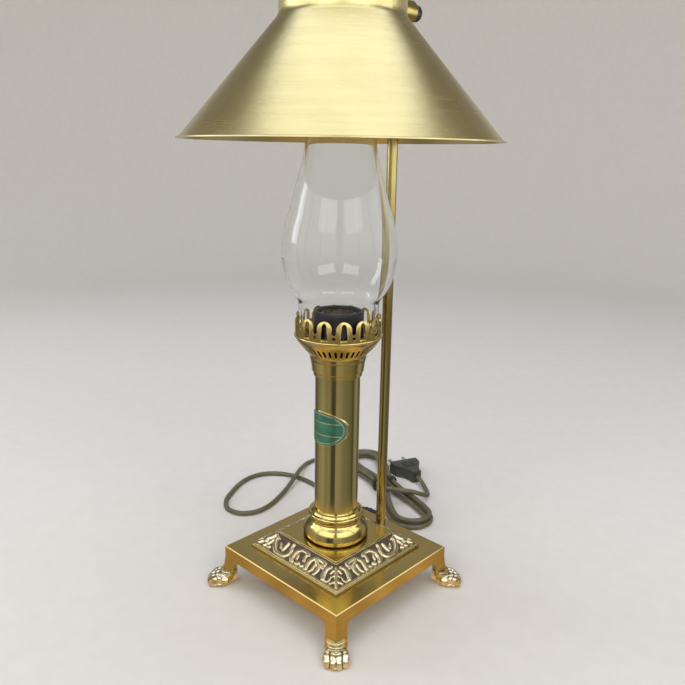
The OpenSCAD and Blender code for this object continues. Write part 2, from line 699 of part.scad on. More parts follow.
// Free stretch of the cord up to the hank, ending in line with the hank's first run
lead_path = concat(lead_route,
    [for (x = [-2, -1.5, -1]) hank_place(hank_local(0) + [x * cord_d, 0, 0])]);
module cord_lead() {
    color(olive) sweep(lead_path, cord_r, 8);
}

// The hank's centre line. Ring k of loop_rings: a run, a fold, a run back and a fold. The spiral goes in
// for one and a half loops, climbs a layer along a run, and goes out again.
function hank_r(k) = hank_inner + hank_step / loop_rings * max(climb_ring - k, k - climb_ring - 6, 0);
function hank_z(k) = cord_r + layer_rise * min(max((k - climb_ring) / 6, 0), 1);
function hank_drawn(s) = pow(cos(90 * s / hank_run), 2);
function hank_w(k, s) = lerp(hank_r(k), cord_r + 0.4 + waist_step * (hank_r(k) - hank_inner) / hank_step,
    hank_drawn(s));
function hank_local(k) = let (q = k % loop_rings, r = hank_r(k), f = (q % 6) / 6)
    q < 6 ? let (s = lerp(-hank_run, hank_run, f)) [s, -hank_w(k, s), hank_z(k) + waist_lift * hank_drawn(s)]
    : q < 12 ? [hank_run + r * sin(180 * f), -r * cos(180 * f), hank_z(k)]
    : q < 18 ? let (s = lerp(hank_run, -hank_run, f))
        [s, hank_w(k, s), hank_z(k) + waist_lift * hank_drawn(s)]
    : [-hank_run - r * sin(180 * f), r * cos(180 * f), hank_z(k)];
function hank_place(p) = [hank_at[0] + p[0] * cos(hank_turn) - p[1] * sin(hank_turn),
    hank_at[1] + p[0] * sin(hank_turn) + p[1] * cos(hank_turn), p[2]];

// Both ends run straight for one cord diameter
hank_in = hank_local(0) - [cord_d, 0, 0];
hank_out_dir = unit([1, -0.12, 0.1]);
hank_out = hank_local(hank_rings) + cord_d * hank_out_dir;
hank_path = [for (p = concat([hank_in], [for (k = [0:hank_rings]) hank_local(k)], [hank_out])) hank_place(p)];

// Least distance between stretches of the hank that are at least a third of a loop apart, less the cord
function near(p, a, b) = let (d = b - a, t = max(0, min(1, ((p - a) * d) / (d * d)))) norm(p - (a + t * d));
hank_gap = min([for (i = [0:len(hank_path) - 1], j = [i + 8:1:len(hank_path) - 2])
    near(hank_path[i], hank_path[j], hank_path[j + 1])]) - cord_d;
echo(least_gap_in_hank = hank_gap);
function path_length(p) = sum([for (i = [0:len(p) - 2]) norm(p[i + 1] - p[i])]);

module cord_hank() {
    color(olive) sweep(hank_path, cord_r, 6);
}

// Soft band that ties the hank at its waist
module cord_tie() {
    band = 5;
    thick = 1.2;
    nip = 1.6;
    slack = 1.2;
    half_loop = loop_rings / 2;
    near_side = -hank_w(hank_rings, 0) - cord_r - slack;
    far_side = hank_w(hank_rings - half_loop, 0) + cord_r + slack;
    low = waist_lift - 0.4;
    high = waist_lift + layer_rise + cord_d + 0.4;
    color(black) translate([hank_at[0], hank_at[1], 0]) rotate([0, 0, hank_turn])
        translate([-band, 0, 0]) rotate([90, 0, 90]) linear_extrude(band) difference() {
            chamfered(near_side - thick, far_side + thick, low - thick, high + thick, nip + thick / 2);
            chamfered(near_side, far_side, low, high, nip);
        }
}
module chamfered(x0, x1, y0, y1, c) {
    polygon([[x0, y0 + c], [x0 + c, y0], [x1 - c, y0], [x1, y0 + c],
        [x1, y1 - c], [x1 - c, y1], [x0 + c, y1], [x0, y1 - c]]);
}

// Last stretch of the cord, from the hank's end to the plug
plug_dir = [cos(plug_turn), sin(plug_turn), 0];
tail_last = tail_route[len(tail_route) - 1];
plug_seat = [tail_last[0], tail_last[1], 0] + 7 * plug_dir;
tail_path = concat([hank_place(hank_out), hank_place(hank_out + cord_r * hank_out_dir)],
    [for (p = smooth(concat([hank_out + cord_d * hank_out_dir], tail_route), 2)) hank_place(p)],
    [hank_place(plug_seat - cord_r * plug_dir + [0, 0, plug_t / 2]),
        hank_place(plug_seat + [0, 0, plug_t / 2])]);
module cord_tail() {
    color(olive) sweep(tail_path, cord_r, 8);
}
echo(cord_length = path_length(lead_path) + path_length(hank_path) + path_length(tail_path));

// Flat two-pin plug lying on the table
module plug_body() {
    outline = [[0, -5.5], [8, -6.2], [15, -9.5], [22, -15.5], [28, -17.4], [plug_l, -17.6],
        [plug_l, 17.6], [28, 17.4], [22, 15.5], [15, 9.5], [8, 6.2], [0, 5.5]];
    color(olive) translate(hank_place(plug_seat)) rotate([0, 0, hank_turn + plug_turn]) difference() {
        linear_extrude(plug_t) polygon(outline);
        for (y = [-1, 1] * pin_half_spacing) translate([plug_l - pin_root_l, y, plug_t / 2])
            rotate([0, 90, 0]) cylinder(r = pin_root_r + 0.05, h = pin_root_l + over);
    }
}
module plug_pins() {
    color([0.75, 0.75, 0.72]) translate(hank_place(plug_seat)) rotate([0, 0, hank_turn + plug_turn])
        for (y = [-1, 1] * pin_half_spacing) translate([plug_l, y, plug_t / 2]) rotate([0, 90, 0]) {
            translate([0, 0, -pin_root_l]) cylinder(r = pin_root_r, h = pin_root_l + over);
            cylinder(r = pin_r, h = plug_pin_l - 2);
            translate([0, 0, plug_pin_l - 2]) cylinder(r1 = pin_r, r2 = pin_r - 0.8, h = 2);
        }
}

plinth();
leaf_frame();
top_plate();
paw_foot_front_left();
paw_foot_front_right();
paw_foot_back_left();
paw_foot_back_right();
column_foot();
column_tube();
oval_plate();
column_collar();
gallery_bowl();
gallery_crown();
chimney();
threaded_tube();
tube_washer();
tube_nut();
holder_cap();
holder_shell();
contact_block();
socket_shell();
centre_contact();
terminal_screws();
inner_flex();
side_rod();
rod_cap();
rod_washer();
rod_nut();
shade();
shade_boss();
boss_screw();
thumb_screw();
thumb_knob();
strain_relief();
cord_lead();
cord_hank();
cord_tie();
cord_tail();
plug_body();
plug_pins();
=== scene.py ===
import math

import bmesh
import bpy
import numpy as np
from mathutils import Matrix, Vector


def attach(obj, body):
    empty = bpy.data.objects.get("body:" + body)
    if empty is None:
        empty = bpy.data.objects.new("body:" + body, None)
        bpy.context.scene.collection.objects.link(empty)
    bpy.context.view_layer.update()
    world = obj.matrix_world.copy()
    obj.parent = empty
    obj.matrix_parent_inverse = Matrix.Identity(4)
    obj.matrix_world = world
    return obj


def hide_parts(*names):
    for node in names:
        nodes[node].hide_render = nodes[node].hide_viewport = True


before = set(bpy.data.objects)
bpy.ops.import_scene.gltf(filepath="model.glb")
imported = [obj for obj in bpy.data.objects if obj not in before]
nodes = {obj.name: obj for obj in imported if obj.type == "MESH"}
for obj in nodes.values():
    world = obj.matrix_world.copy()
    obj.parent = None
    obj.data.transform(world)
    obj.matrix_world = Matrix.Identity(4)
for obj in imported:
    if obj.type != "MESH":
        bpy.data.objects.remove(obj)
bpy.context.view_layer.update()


# Plinth and top plate
# The plinth is pressed from 2 mm sheet brass: a flat flange, a shallow skirt and four legs bent round the
# corners. The top plate is a small square of sheet on the leaf frame. Both are polished and lacquered.
pressed_edge = 0.35


def feed(node, values):
    """Join inputs of a node to the sockets given for them, or set them to the values."""
    for key, value in values.items():
        if isinstance(value, bpy.types.NodeSocket):
            node.id_data.links.new(value, node.inputs[key])
        else:
            node.inputs[key].default_value = value


def put(tree, kind, values=None, **settings):
    """A new node in the tree, with its settings made and its inputs fed."""
    node = tree.nodes.new(kind)
    for key, value in settings.items():
        setattr(node, key, value)
    feed(node, values or {})
    return node


def maths(tree, operation, *values):
    """A sum on sockets and numbers, as the socket of its result."""
    return put(tree, "ShaderNodeMath", dict(enumerate(values)), operation=operation).outputs[0]


def stretched(tree, place, by):
    """The place multiplied by a vector, so that a pattern on it is drawn out across the larger numbers."""
    return put(tree, "ShaderNodeVectorMath", {0: place, 1: by}, operation="MULTIPLY").outputs[0]


def noise(tree, place, scale, detail=2.0, roughness=0.5):
    """Even noise, about 0.5 in the middle."""
    return put(tree, "ShaderNodeTexNoise", {"Vector": place, "Scale": scale, "Detail": detail,
                                            "Roughness": roughness}).outputs["Fac"]


def ramp(tree, value, low, high):
    """0 below low and 1 above high, smooth between."""
    return put(tree, "ShaderNodeMapRange", {"Value": value, "From Min": low, "From Max": high},
               interpolation_type="SMOOTHSTEP").outputs["Result"]


def scaled(tree, value, low, high):
    """A value of 0 to 1 as low to high."""
    return put(tree, "ShaderNodeMapRange", {"Value": value, "To Min": low, "To Max": high}).outputs["Result"]


def mixed(tree, share, first, second, blend="MIX"):
    """The first colour with a share of the second in it."""
    node = put(tree, "ShaderNodeMix", data_type="RGBA", blend_type=blend)
    feed(node, {0: share, 6: first, 7: second})
    return node.outputs[2]


def bumped(tree, height, strength, distance):
    """The normal of a fine relief."""
    return put(tree, "ShaderNodeBump", {"Height": height, "Strength": strength,
                                        "Distance": distance}).outputs["Normal"]


def own_place(tree):
    """Where on the piece a point is."""
    return put(tree, "ShaderNodeTexCoord").outputs["Object"]


def effect(name, inputs, outputs):
    """An empty shader node group with inputs of (name, type, value) and outputs of (name, type)."""
    tree = bpy.data.node_groups.new(name, "ShaderNodeTree")
    for socket, kind, value in inputs:
        made = tree.interface.new_socket(socket, in_out="INPUT", socket_type="NodeSocket" + kind)
        made.default_value = value
    for socket, kind in outputs:
        tree.interface.new_socket(socket, in_out="OUTPUT", socket_type="NodeSocket" + kind)
    return tree, tree.nodes.new("NodeGroupInput").outputs, tree.nodes.new("NodeGroupOutput")


def bare_material(name):
    """A new material, its node tree and its shader."""
    material = bpy.data.materials.new(name)
    material.use_nodes = True
    return material, material.node_tree, material.node_tree.nodes["Principled BSDF"]


def finished_with(name, group, bump, distance, values):
    """A material that takes colour, roughness and relief from an effect, with its own values for it."""
    material, tree, shader = bare_material(name)
    made = put(tree, "ShaderNodeGroup", node_tree=group)
    feed(made, {key.replace("_", " "): value for key, value in values.items()})
    feed(shader, {"Base Color": made.outputs["Color"], "Roughness": made.outputs["Roughness"],
                  "Normal": bumped(tree, made.outputs["Height"], bump, distance)})
    return material, shader, made


# Old lacquer: broad cloudy tone, small tarnish spots where the lacquer has gone, and fine hairlines
lacquer, given, result = effect("old_lacquer", [
    ("Metal", "Color", (0.6, 0.5, 0.22, 1)), ("Tarnish", "Color", (0.3, 0.19, 0.06, 1)),
    ("Cloud Size", "Float", 12.0), ("Cloud Amount", "Float", 0.35),
    ("Spot Size", "Float", 260.0), ("Spot Amount", "Float", 0.5), ("Roughness", "Float", 0.16),
    ("Line Direction", "Vector", (1, 1, 40)), ("Line Size", "Float", 60.0), ("Line Depth", "Float", 0.1)], [
    ("Color", "Color"), ("Roughness", "Float"), ("Height", "Float")])
place = own_place(lacquer)
cloud = ramp(lacquer, noise(lacquer, place, given["Cloud Size"], 4.0, 0.6), 0.38, 0.72)
spot = ramp(lacquer, noise(lacquer, place, given["Spot Size"], 5.0, 0.7), 0.66, 0.76)
hair = noise(lacquer, stretched(lacquer, place, given["Line Direction"]), given["Line Size"], 6.0, 0.65)
tone = maths(lacquer, "MAXIMUM", maths(lacquer, "MULTIPLY", cloud, given["Cloud Amount"]),
             maths(lacquer, "MULTIPLY", spot, given["Spot Amount"]))
worn = maths(lacquer, "MULTIPLY_ADD", tone, 0.22, given["Roughness"])
feed(result, {"Color": mixed(lacquer, tone, given["Metal"], given["Tarnish"]),
              "Roughness": maths(lacquer, "MULTIPLY_ADD", hair, 0.08, worn),
              "Height": maths(lacquer, "MULTIPLY", hair, given["Line Depth"])})


def brass(name, bump=0.15, **values):
    """Lacquered brass, with its own values for old_lacquer."""
    material, shader, _ = finished_with(name, lacquer, bump, 0.0004, values)
    feed(shader, {"Metallic": 1.0, "Coat Weight": 0.2, "Coat Roughness": 0.06})
    return material


sheet_brass = brass("sheet_brass", Metal=(0.50, 0.385, 0.135, 1), Tarnish=(0.36, 0.25, 0.07, 1),
                    Roughness=0.13, Line_Direction=(1, 3, 3), Line_Size=90.0, Cloud_Amount=0.3,
                    Line_Depth=0.3, bump=0.05)


def dress(piece, material):
    """One material over the whole piece."""
    piece.data.materials.clear()
    piece.data.materials.append(material)


def shown(name, data):
    """An object of the mesh, camera or lamp, in the scene."""
    piece = bpy.data.objects.new(name, data)
    bpy.context.scene.collection.objects.link(piece)
    return piece


def round_edges(piece, width, segments=2, angle=50):
    """Round the edges that turn by more than the angle, by a width in mm."""
    bevel = piece.modifiers.new("rounded_edges", "BEVEL")
    bevel.width = width / 1000
    bevel.segments = segments
    bevel.limit_method = "ANGLE"
    bevel.angle_limit = math.radians(angle)
    return bevel


def mesh_of(name, work):
    """The mesh of finished work."""
    mesh = bpy.data.meshes.new(name)
    work.to_mesh(mesh)
    work.free()
    return mesh


def pressed_copy(name, edge):
    """A copy of a CAD node's solid with its flat faces whole and its edges rounded by a width in mm."""
    work = bmesh.new()
    work.from_mesh(nodes[name].data)
    bmesh.ops.remove_doubles(work, verts=work.verts, dist=1e-6)
    bmesh.ops.dissolve_limit(work, angle_limit=math.radians(0.6), verts=work.verts, edges=work.edges)
    mesh = mesh_of("pressed_" + name, work)
    mesh.shade_smooth()
    mesh.set_sharp_from_angle(angle=math.radians(20))
    piece = shown("pressed_" + name, mesh)
    round_edges(piece, edge, 3, 35).harden_normals = True
    return piece


for name in ("plinth", "top_plate"):
    pressed = pressed_copy(name, pressed_edge)
    dress(pressed, sheet_brass)
    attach(pressed, "base")
    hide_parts(name)


# Leaf frame
# A cast brass frame on the plinth, its four slopes covered with scrolled leaves and a palmette at each
# corner. The leaves are polished on top, with a painted highlight of pale cream there, and dark in their
# recesses with patina and painted shade; a thin edge painted bright as a highlight stands round them, and
# painted shade darkens the slope just under the top plate.
frame_half, frame_top_half = 53.3, 34.9
frame_seat, frame_low, frame_high = 37.02, 39.6, 50.3
frame_wall, leaf_rise, ground_dip = 1.8, 1.3, 0.5
across_steps, up_steps = 290, 64
slant = math.hypot(frame_half - frame_top_half, frame_high - frame_low)
lean = math.atan2(frame_high - frame_low, frame_half - frame_top_half)

# A stroke of a leaf is its half width in mm, its height and a line of (along the side, up the slope) points.
# The side ends at the corner on its right. The leaves lean towards that corner, and the next side mirrors
# them.
leaf_strokes = [
    (2.5, 1.0, [(37.2, 18.6), (40.2, 15.2), (43.3, 11.6), (48.2, 6.0), (49.6, 4.3)]),
    (2.2, 1.0, [(46.0, 9.9), (44.2, 7.2), (42.3, 4.5)]),
    (2.9, 1.0, [(33.6, 4.6), (31.2, 9.4), (30.8, 13.2), (33.2, 16.6)]),
    (1.7, 0.8, [(34.8, 4.5), (38.2, 4.6), (39.2, 6.8), (38.8, 9.4)]),
    (1.9, 1.0, [(36.9, 12.2), (36.9, 15.0), (39.2, 15.4), (40.9, 13.0), (40.3, 10.3)]),
    (3.2, 1.0, [(12.6, 4.4), (11.2, 8.7), (11.4, 12.4), (14.0, 15.8)]),
    (2.2, 1.0, [(17.1, 3.8), (18.4, 6.2), (18.4, 9.2), (18.2, 11.5)]),
    (2.4, 1.0, [(23.2, 4.4), (23.9, 7.5), (22.8, 11.2), (19.0, 13.8), (15.6, 15.9)]),
    (1.8, 0.9, [(22.8, 11.2), (23.8, 13.4), (27.1, 12.1)]),
    (2.7, 0.6, [(16.4, 18.4), (21.1, 18.2), (25.6, 17.0), (26.0, 14.2)]),
    (2.9, 1.0, [(-3.6, 3.9), (-6.1, 7.1), (-6.5, 11.3), (-5.1, 14.6), (-2.2, 16.6)]),
    (2.7, 1.0, [(1.4, 4.9), (3.4, 5.6)]),
    (2.1, 1.0, [(6.5, 9.8), (5.0, 13.0), (5.2, 15.2)]),
    (2.5, 0.6, [(-0.8, 17.8), (3.1, 18.0), (7.0, 16.2)]),
    (2.2, 1.0, [(7.0, 4.9), (9.0, 5.4)]),
    (1.5, 0.9, [(-4.6, 13.6), (-1.9, 10.9), (-0.7, 7.8)]),
    (2.7, 1.0, [(-32.8, 14.6), (-30.4, 10.4), (-26.8, 6.3), (-22.3, 4.2), (-16.1, 4.3), (-12.3, 6.9),
                (-11.5, 11.0), (-13.2, 15.0), (-13.6, 18.2)]),
    (2.1, 1.0, [(-18.9, 16.2), (-19.3, 12.4), (-19.3, 8.6)]),
    (1.7, 0.8, [(-25.6, 13.0), (-22.6, 9.4)]),
    (2.9, 1.0, [(-36.6, 18.2), (-39.4, 14.0), (-41.8, 11.4), (-40.9, 8.6)]),
    (1.8, 1.0, [(-33.9, 16.8), (-30.6, 16.0)]),
    (2.1, 1.0, [(-39.8, 4.4), (-38.6, 5.2)]),
    (2.1, 1.0, [(-35.2, 4.6), (-33.6, 5.4)]),
    (2.2, 1.0, [(-46.8, 4.4), (-44.3, 7.0)]),
    (1.7, 0.9, [(-36.9, 7.2), (-35.6, 11.2), (-34.0, 13.4)])]


def smooth_curve(points, steps):
    """A smooth curve through the points, with the given steps between each two."""
    line = []
    for i in range(len(points) - 1):
        a, b, c, d = (np.array(points[min(max(j, 0), len(points) - 1)], float)
                      for j in (i - 1, i, i + 1, i + 2))
        for j in range(steps):
            t = j / steps
            line.append(0.5 * (2 * b + (c - a) * t + (2 * a - 5 * b + 4 * c - d) * t ** 2
                               + (3 * b - a - 3 * c + d) * t ** 3))
    line.append(np.array(points[-1], float))
    return line


def between(value, low, high):
    """0 below low, 1 above high and a straight slope between."""
    return np.clip((value - low) / (high - low), 0, 1)


def leaf_height(across, up):
    """Height of the cast leaves, 0 to 1, at a place along a side and up its slope, both in mm.

    A stroke has a rounded top and steep sides, and is narrower at its ends.
    """
    height = np.zeros_like(across)
    for half, high, points in leaf_strokes:
        line = smooth_curve(points, 9)
        widths = half * (0.66 + 0.34 * np.sin(np.pi * np.linspace(0.15, 0.95, len(line))))
        nearest = np.full_like(across, 9.0)
        for (x, y), width in zip(line, widths):
            nearest = np.minimum(nearest, np.hypot(across - x, up - y) / width)
        height = np.maximum(height, high * np.clip(1 - nearest ** 3.4, 0, 1) ** 0.5)
    return height


# The leaves fade out above the foot of the slope and below its top, and so does the dip of their ground.
leaf_foot, leaf_top, dip_foot, dip_top = (2.4, 3.2), (1.2, 3.4), (1.6, 2.6), (0.4, 1.0)
share = np.linspace(-1, 1, across_steps + 1)
rise_share = np.linspace(0, 1, up_steps + 1)[:, None]
half_here = frame_half + (frame_top_half - frame_half) * rise_share
up = rise_share * slant + 0 * share
relief = leaf_height(share * half_here, up) * between(up, *leaf_foot) * between(slant - up, *leaf_top)
dip = ground_dip * between(up, *dip_foot) * between(slant - up, *dip_top)
out = (leaf_rise + dip) * relief - dip
side_y = -half_here - out * math.sin(lean)
side_z = frame_low + (frame_high - frame_low) * rise_share + out * math.cos(lean)
slope = np.stack([-share * side_y, side_y, side_z], axis=2)

# Plain rows go from the inside edge at the top down the back, under the foot and up to the slope. Each is its
# half width, its height and its mark: 1 is the dark of a recess, patina and painted shade, 0 is a painted
# highlight and -1 is plain brass. The back, the underside and a thin line inside the edge are marked part
# dark as painted shade, and the edge's crest is marked 0. They take the place of the first rows of the slope,
# where the edge is rounded.
plain_rows = [
    (frame_top_half - frame_wall, frame_high, -1), (frame_top_half - frame_wall, frame_high - 1.5, -1),
    (frame_half - frame_wall - 1, frame_low - 1.2, 0.6), (frame_half - frame_wall, frame_seat, 0.5),
    (frame_half - 0.3, frame_seat, 0.2), (frame_half, frame_seat + 0.28, -1),
    (frame_half, frame_low - 0.9, -1), (frame_half - 0.35, frame_low - 0.25, -1),
    (frame_half - 0.9, frame_low, 0.0), (frame_half - 1.5, frame_low - 0.05, 0.6),
    (frame_half - 2.0, frame_low + 0.25, -1)]
edge_rows, plain_band = 7, 2.9
rows = np.array([np.stack([share * half, 0 * share - half, 0 * share + z], axis=1)
                 for half, z, _ in plain_rows] + list(slope[edge_rows:])) / 1000
# On the slope the mark is 1 less the leaves' height: dark between the leaves as patina and painted shade, and
# dark where the leaves fade under the top plate as painted shade
slope_mark = np.where(up < plain_band, -1, 1 - relief)[edge_rows:]
slope_mark[-2:] = -1
marks = np.concatenate([[[mark] * len(share) for _, _, mark in plain_rows], slope_mark]).reshape(-1)
count, levels = len(share), len(rows)
faces = [(r * count + c, r * count + c + 1, (r + 1) % levels * count + c + 1, (r + 1) % levels * count + c)
         for r in range(levels) for c in range(across_steps)]
faces += [tuple(v + levels * count for v in reversed(face)) for face in faces]
mirrored = rows[:, :, (1, 0, 2)] * (-1, -1, 1)


def outward(mesh):
    """Turn the faces of a closed mesh outwards."""
    work = bmesh.new()
    work.from_mesh(mesh)
    bmesh.ops.recalc_face_normals(work, faces=work.faces)
    work.to_mesh(mesh)
    work.free()


def built(name, points, faces, crease=None, closed=False):
    """A smooth piece of points in metres, its edges sharp where they turn by more than the crease."""
    mesh = bpy.data.meshes.new(name)
    mesh.from_pydata([tuple(p) for p in points], [], faces)
    if closed:
        outward(mesh)
    mesh.shade_smooth()
    if crease:
        mesh.set_sharp_from_angle(angle=math.radians(crease))
    return shown(name, mesh)


def mark_light_and_patina(mesh, marks):
    """Mark each point of the mesh for the cast surface: dark for patina and painted shade, bright for a
    painted highlight.
    """
    mesh.attributes.new("light_and_patina_mark", "FLOAT", "POINT").data.foreach_set("value", marks.astype(np.float32))


frame_side = built("frame_side", np.concatenate([rows.reshape(-1, 3), mirrored.reshape(-1, 3)]), faces)
mark_light_and_patina(frame_side.data, np.concatenate([marks, marks]))


def node_tree(name, inputs):
    """A Geometry Nodes tree with a mesh going in and out, and the given inputs as (name, type, value)."""
    tree = bpy.data.node_groups.new(name, "GeometryNodeTree")
    tree.interface.new_socket("Geometry", in_out="INPUT", socket_type="NodeSocketGeometry")
    for socket, kind, value in inputs:
        made = tree.interface.new_socket(socket, in_out="INPUT", socket_type="NodeSocket" + kind)
        if value is not None:
            made.default_value = value
    tree.interface.new_socket("Geometry", in_out="OUTPUT", socket_type="NodeSocketGeometry")
    return tree, tree.nodes.new("NodeGroupInput").outputs, tree.nodes.new("NodeGroupOutput")


# Round the axis: copies of one piece turned round the column's axis and joined where they meet
round_axis, given, result = node_tree("round_the_axis", [
    ("Copies", "Int", 4), ("First Angle", "Float", 0.0), ("Join Distance", "Float", 0.00002),
    ("Finish", "Material", None)])
line = put(round_axis, "GeometryNodeMeshLine", {"Count": given["Copies"], "Offset": (0, 0, 0)}).outputs[0]
number = put(round_axis, "GeometryNodeInputIndex").outputs[0]
turn = maths(round_axis, "MULTIPLY_ADD", maths(round_axis, "DIVIDE", number, given["Copies"]), 2 * math.pi,
             given["First Angle"])
about_z = put(round_axis, "ShaderNodeCombineXYZ", {"Z": turn}).outputs[0]
spin = put(round_axis, "FunctionNodeEulerToRotation", {0: about_z}).outputs[0]
copies = put(round_axis, "GeometryNodeInstanceOnPoints", {"Points": line, "Instance": given["Geometry"],
                                                          "Rotation": spin}).outputs[0]
real = put(round_axis, "GeometryNodeRealizeInstances", {0: copies}).outputs[0]
joined = put(round_axis, "GeometryNodeMergeByDistance", {"Geometry": real,
                                                         "Distance": given["Join Distance"]})
feed(result, {0: put(round_axis, "GeometryNodeSetMaterial", {"Geometry": joined.outputs[0],
                                                             "Material": given["Finish"]}).outputs[0]})


def as_made(start):
    """The plain mesh of an object with its modifiers applied."""
    bpy.context.view_layer.update()
    return bpy.data.meshes.new_from_object(start.evaluated_get(bpy.context.evaluated_depsgraph_get()))


def grown(name, start, tree, **values):
    """The plain piece that a Geometry Nodes tree makes from the start object."""
    modifier = start.modifiers.new(name, "NODES")
    modifier.node_group = tree
    for item in tree.interface.items_tree:
        if item.in_out == "INPUT" and item.name.replace(" ", "_") in values:
            modifier[item.identifier] = values[item.name.replace(" ", "_")]
    mesh = as_made(start)
    mesh.name = name
    start.modifiers.remove(modifier)
    bpy.data.objects.remove(start)
    return shown(name, mesh)


# Cast brass: pale cream where the mesh marks tops and crests, part rubbed brass and part painted highlight;
# dark brown where it marks recesses, part patina and part painted shade; plain brass where the mark is below
# nothing; a little grainy
cast, given, result = effect("cast_surface", [
    ("Bright", "Color", (0.78, 0.68, 0.42, 1)), ("Dark", "Color", (0.10, 0.065, 0.03, 1)),
    ("Grain Size", "Float", 900.0), ("Recess Edge", "Float", 0.55)], [
    ("Color", "Color"), ("Roughness", "Float"), ("Metallic", "Float"), ("Height", "Float")])
place = own_place(cast)
hollow = put(cast, "ShaderNodeAttribute", attribute_name="light_and_patina_mark").outputs["Fac"]
grit = noise(cast, place, given["Grain Size"], 6.0, 0.7)
uneven = maths(cast, "SUBTRACT", maths(cast, "MULTIPLY_ADD", grit, 0.5, hollow), 0.25)
# Dark brown share: patina and painted shade where the mesh marks recesses
shade_and_patina = ramp(cast, uneven, maths(cast, "SUBTRACT", given["Recess Edge"], 0.22),
            maths(cast, "ADD", given["Recess Edge"], 0.22))
patch = ramp(cast, noise(cast, place, 140.0, 3.0), 0.35, 0.7)
# The pale cream on the tops and crests is part rubbed brass and part painted highlight
tint = mixed(cast, patch, given["Bright"], (0.55, 0.44, 0.23, 1))
tint = mixed(cast, ramp(cast, hollow, -0.2, -0.8), tint, (0.46, 0.36, 0.14, 1))
feed(result, {"Color": mixed(cast, shade_and_patina, tint, given["Dark"]), "Roughness": scaled(cast, shade_and_patina, 0.22, 0.65),
              "Metallic": scaled(cast, shade_and_patina, 1.0, 0.55), "Height": grit})


def cast_brass(name, **values):
    """Cast brass, with its own values for cast_surface."""
    material, shader, made = finished_with(name, cast, 0.25, 0.0003, values)
    feed(shader, {"Metallic": made.outputs["Metallic"]})
    return material


# Pale cream leaf tops, part painted highlight; dark recesses, patina and painted shade
leaf_brass = cast_brass("leaf_brass", Bright=(0.70, 0.61, 0.41, 1), Dark=(0.090, 0.068, 0.044, 1),
                        Recess_Edge=0.66)
leaf_casting = grown("leaf_casting", frame_side, round_axis, Copies=2, Finish=leaf_brass)
leaf_casting.data.set_sharp_from_angle(angle=math.radians(60))
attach(leaf_casting, "base")
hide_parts("leaf_frame")


# Paw feet
# Four cast brass lion's paws, one at each corner: a rimmed wrist, a broad block of four fluted toes, and a
# sole that passes under the leg to a tang soldered inside the corner. Pale cream on the toes, part rubbed
# brass and part painted highlight; painted shade between the toes, under the wrist's rim and on the sole.
paw_reach, paw_top, sole_z = 74.2 * math.sqrt(2), 14.6, 0.02
paw_widening, toe_shortening, groove_depth, fusing_grain = 1.07, 0.16, 0.55, 0.32
tang_size, tang_place, tang_z = (5.1, 5.1, 27), 65.15, 17.2


def blob(work, centre, size, turn=0.0):
    """An egg of the given half sizes in mm, turned about its own Y axis."""
    made = bmesh.ops.create_uvsphere(work, u_segments=24, v_segments=16, radius=1.0)
    shape = (Matrix.Translation(Vector(centre) / 1000) @ Matrix.Rotation(turn, 4, "Y")
             @ Matrix.Diagonal(Vector((*size, 1000.0)) / 1000))
    bmesh.ops.transform(work, matrix=shape, verts=made["verts"])


def drum(work, x, low, high, radius_low, radius_high):
    """A round block of the given radii in mm, standing at x between two heights."""
    made = bmesh.ops.create_cone(work, cap_ends=True, segments=40, radius1=radius_low / 1000,
                                 radius2=radius_high / 1000, depth=(high - low) / 1000)
    bmesh.ops.translate(work, verts=made["verts"], vec=(x / 1000, 0, (low + high) / 2000))


def groove(value, width):
    """1 in the middle of a groove, where the value is nothing, and 0 a little past its half width."""
    return np.exp(-(value / width) ** 2)


work = bmesh.new()
blob(work, (paw_reach - 4, 0, 5.4), (9.6, 9.0, 5.4))
blob(work, (paw_reach + 2.5, 0, 5.2), (8.8, 8.9, 4.5))
drum(work, paw_reach - 2, 0.3, 3.4, 7.2, 9.2)
blob(work, (paw_reach + 2.5, 0, 2.0), (10.2, 8.6, 2.2))
for y, back in ((-7.1, 2.3), (-2.5, 0), (2.5, 0), (7.1, 2.3)):
    blob(work, (paw_reach + 1.4 - 0.4 * back, y * 0.93, 7.7), (4.4, 2.55, 3.0))
    blob(work, (paw_reach + 6.4 - back, y, 6.5), (4.6, 2.75, 3.2), 0.5)
    blob(work, (paw_reach + 9.4 - back, y * 0.97, 4.1), (3.2, 2.6, 3.5), 0.15)
    blob(work, (paw_reach + 11.3 - back, y * 0.97, 2.3), (1.3, 1.25, 2.1))
drum(work, paw_reach - 8.7, 8.5, 13.2, 6.6, 6.0)
drum(work, paw_reach - 8.7, 13.2, paw_top, 7.4, 7.2)
paw_shape = shown("paw_shape", mesh_of("paw_shape", work))
fuse = paw_shape.modifiers.new("fuse", "REMESH")
fuse.mode = "VOXEL"
fuse.voxel_size = fusing_grain / 1000
soften = paw_shape.modifiers.new("soften", "SMOOTH")
soften.factor = 0.5
soften.iterations = 3
fused = as_made(paw_shape)
bpy.data.objects.remove(paw_shape)

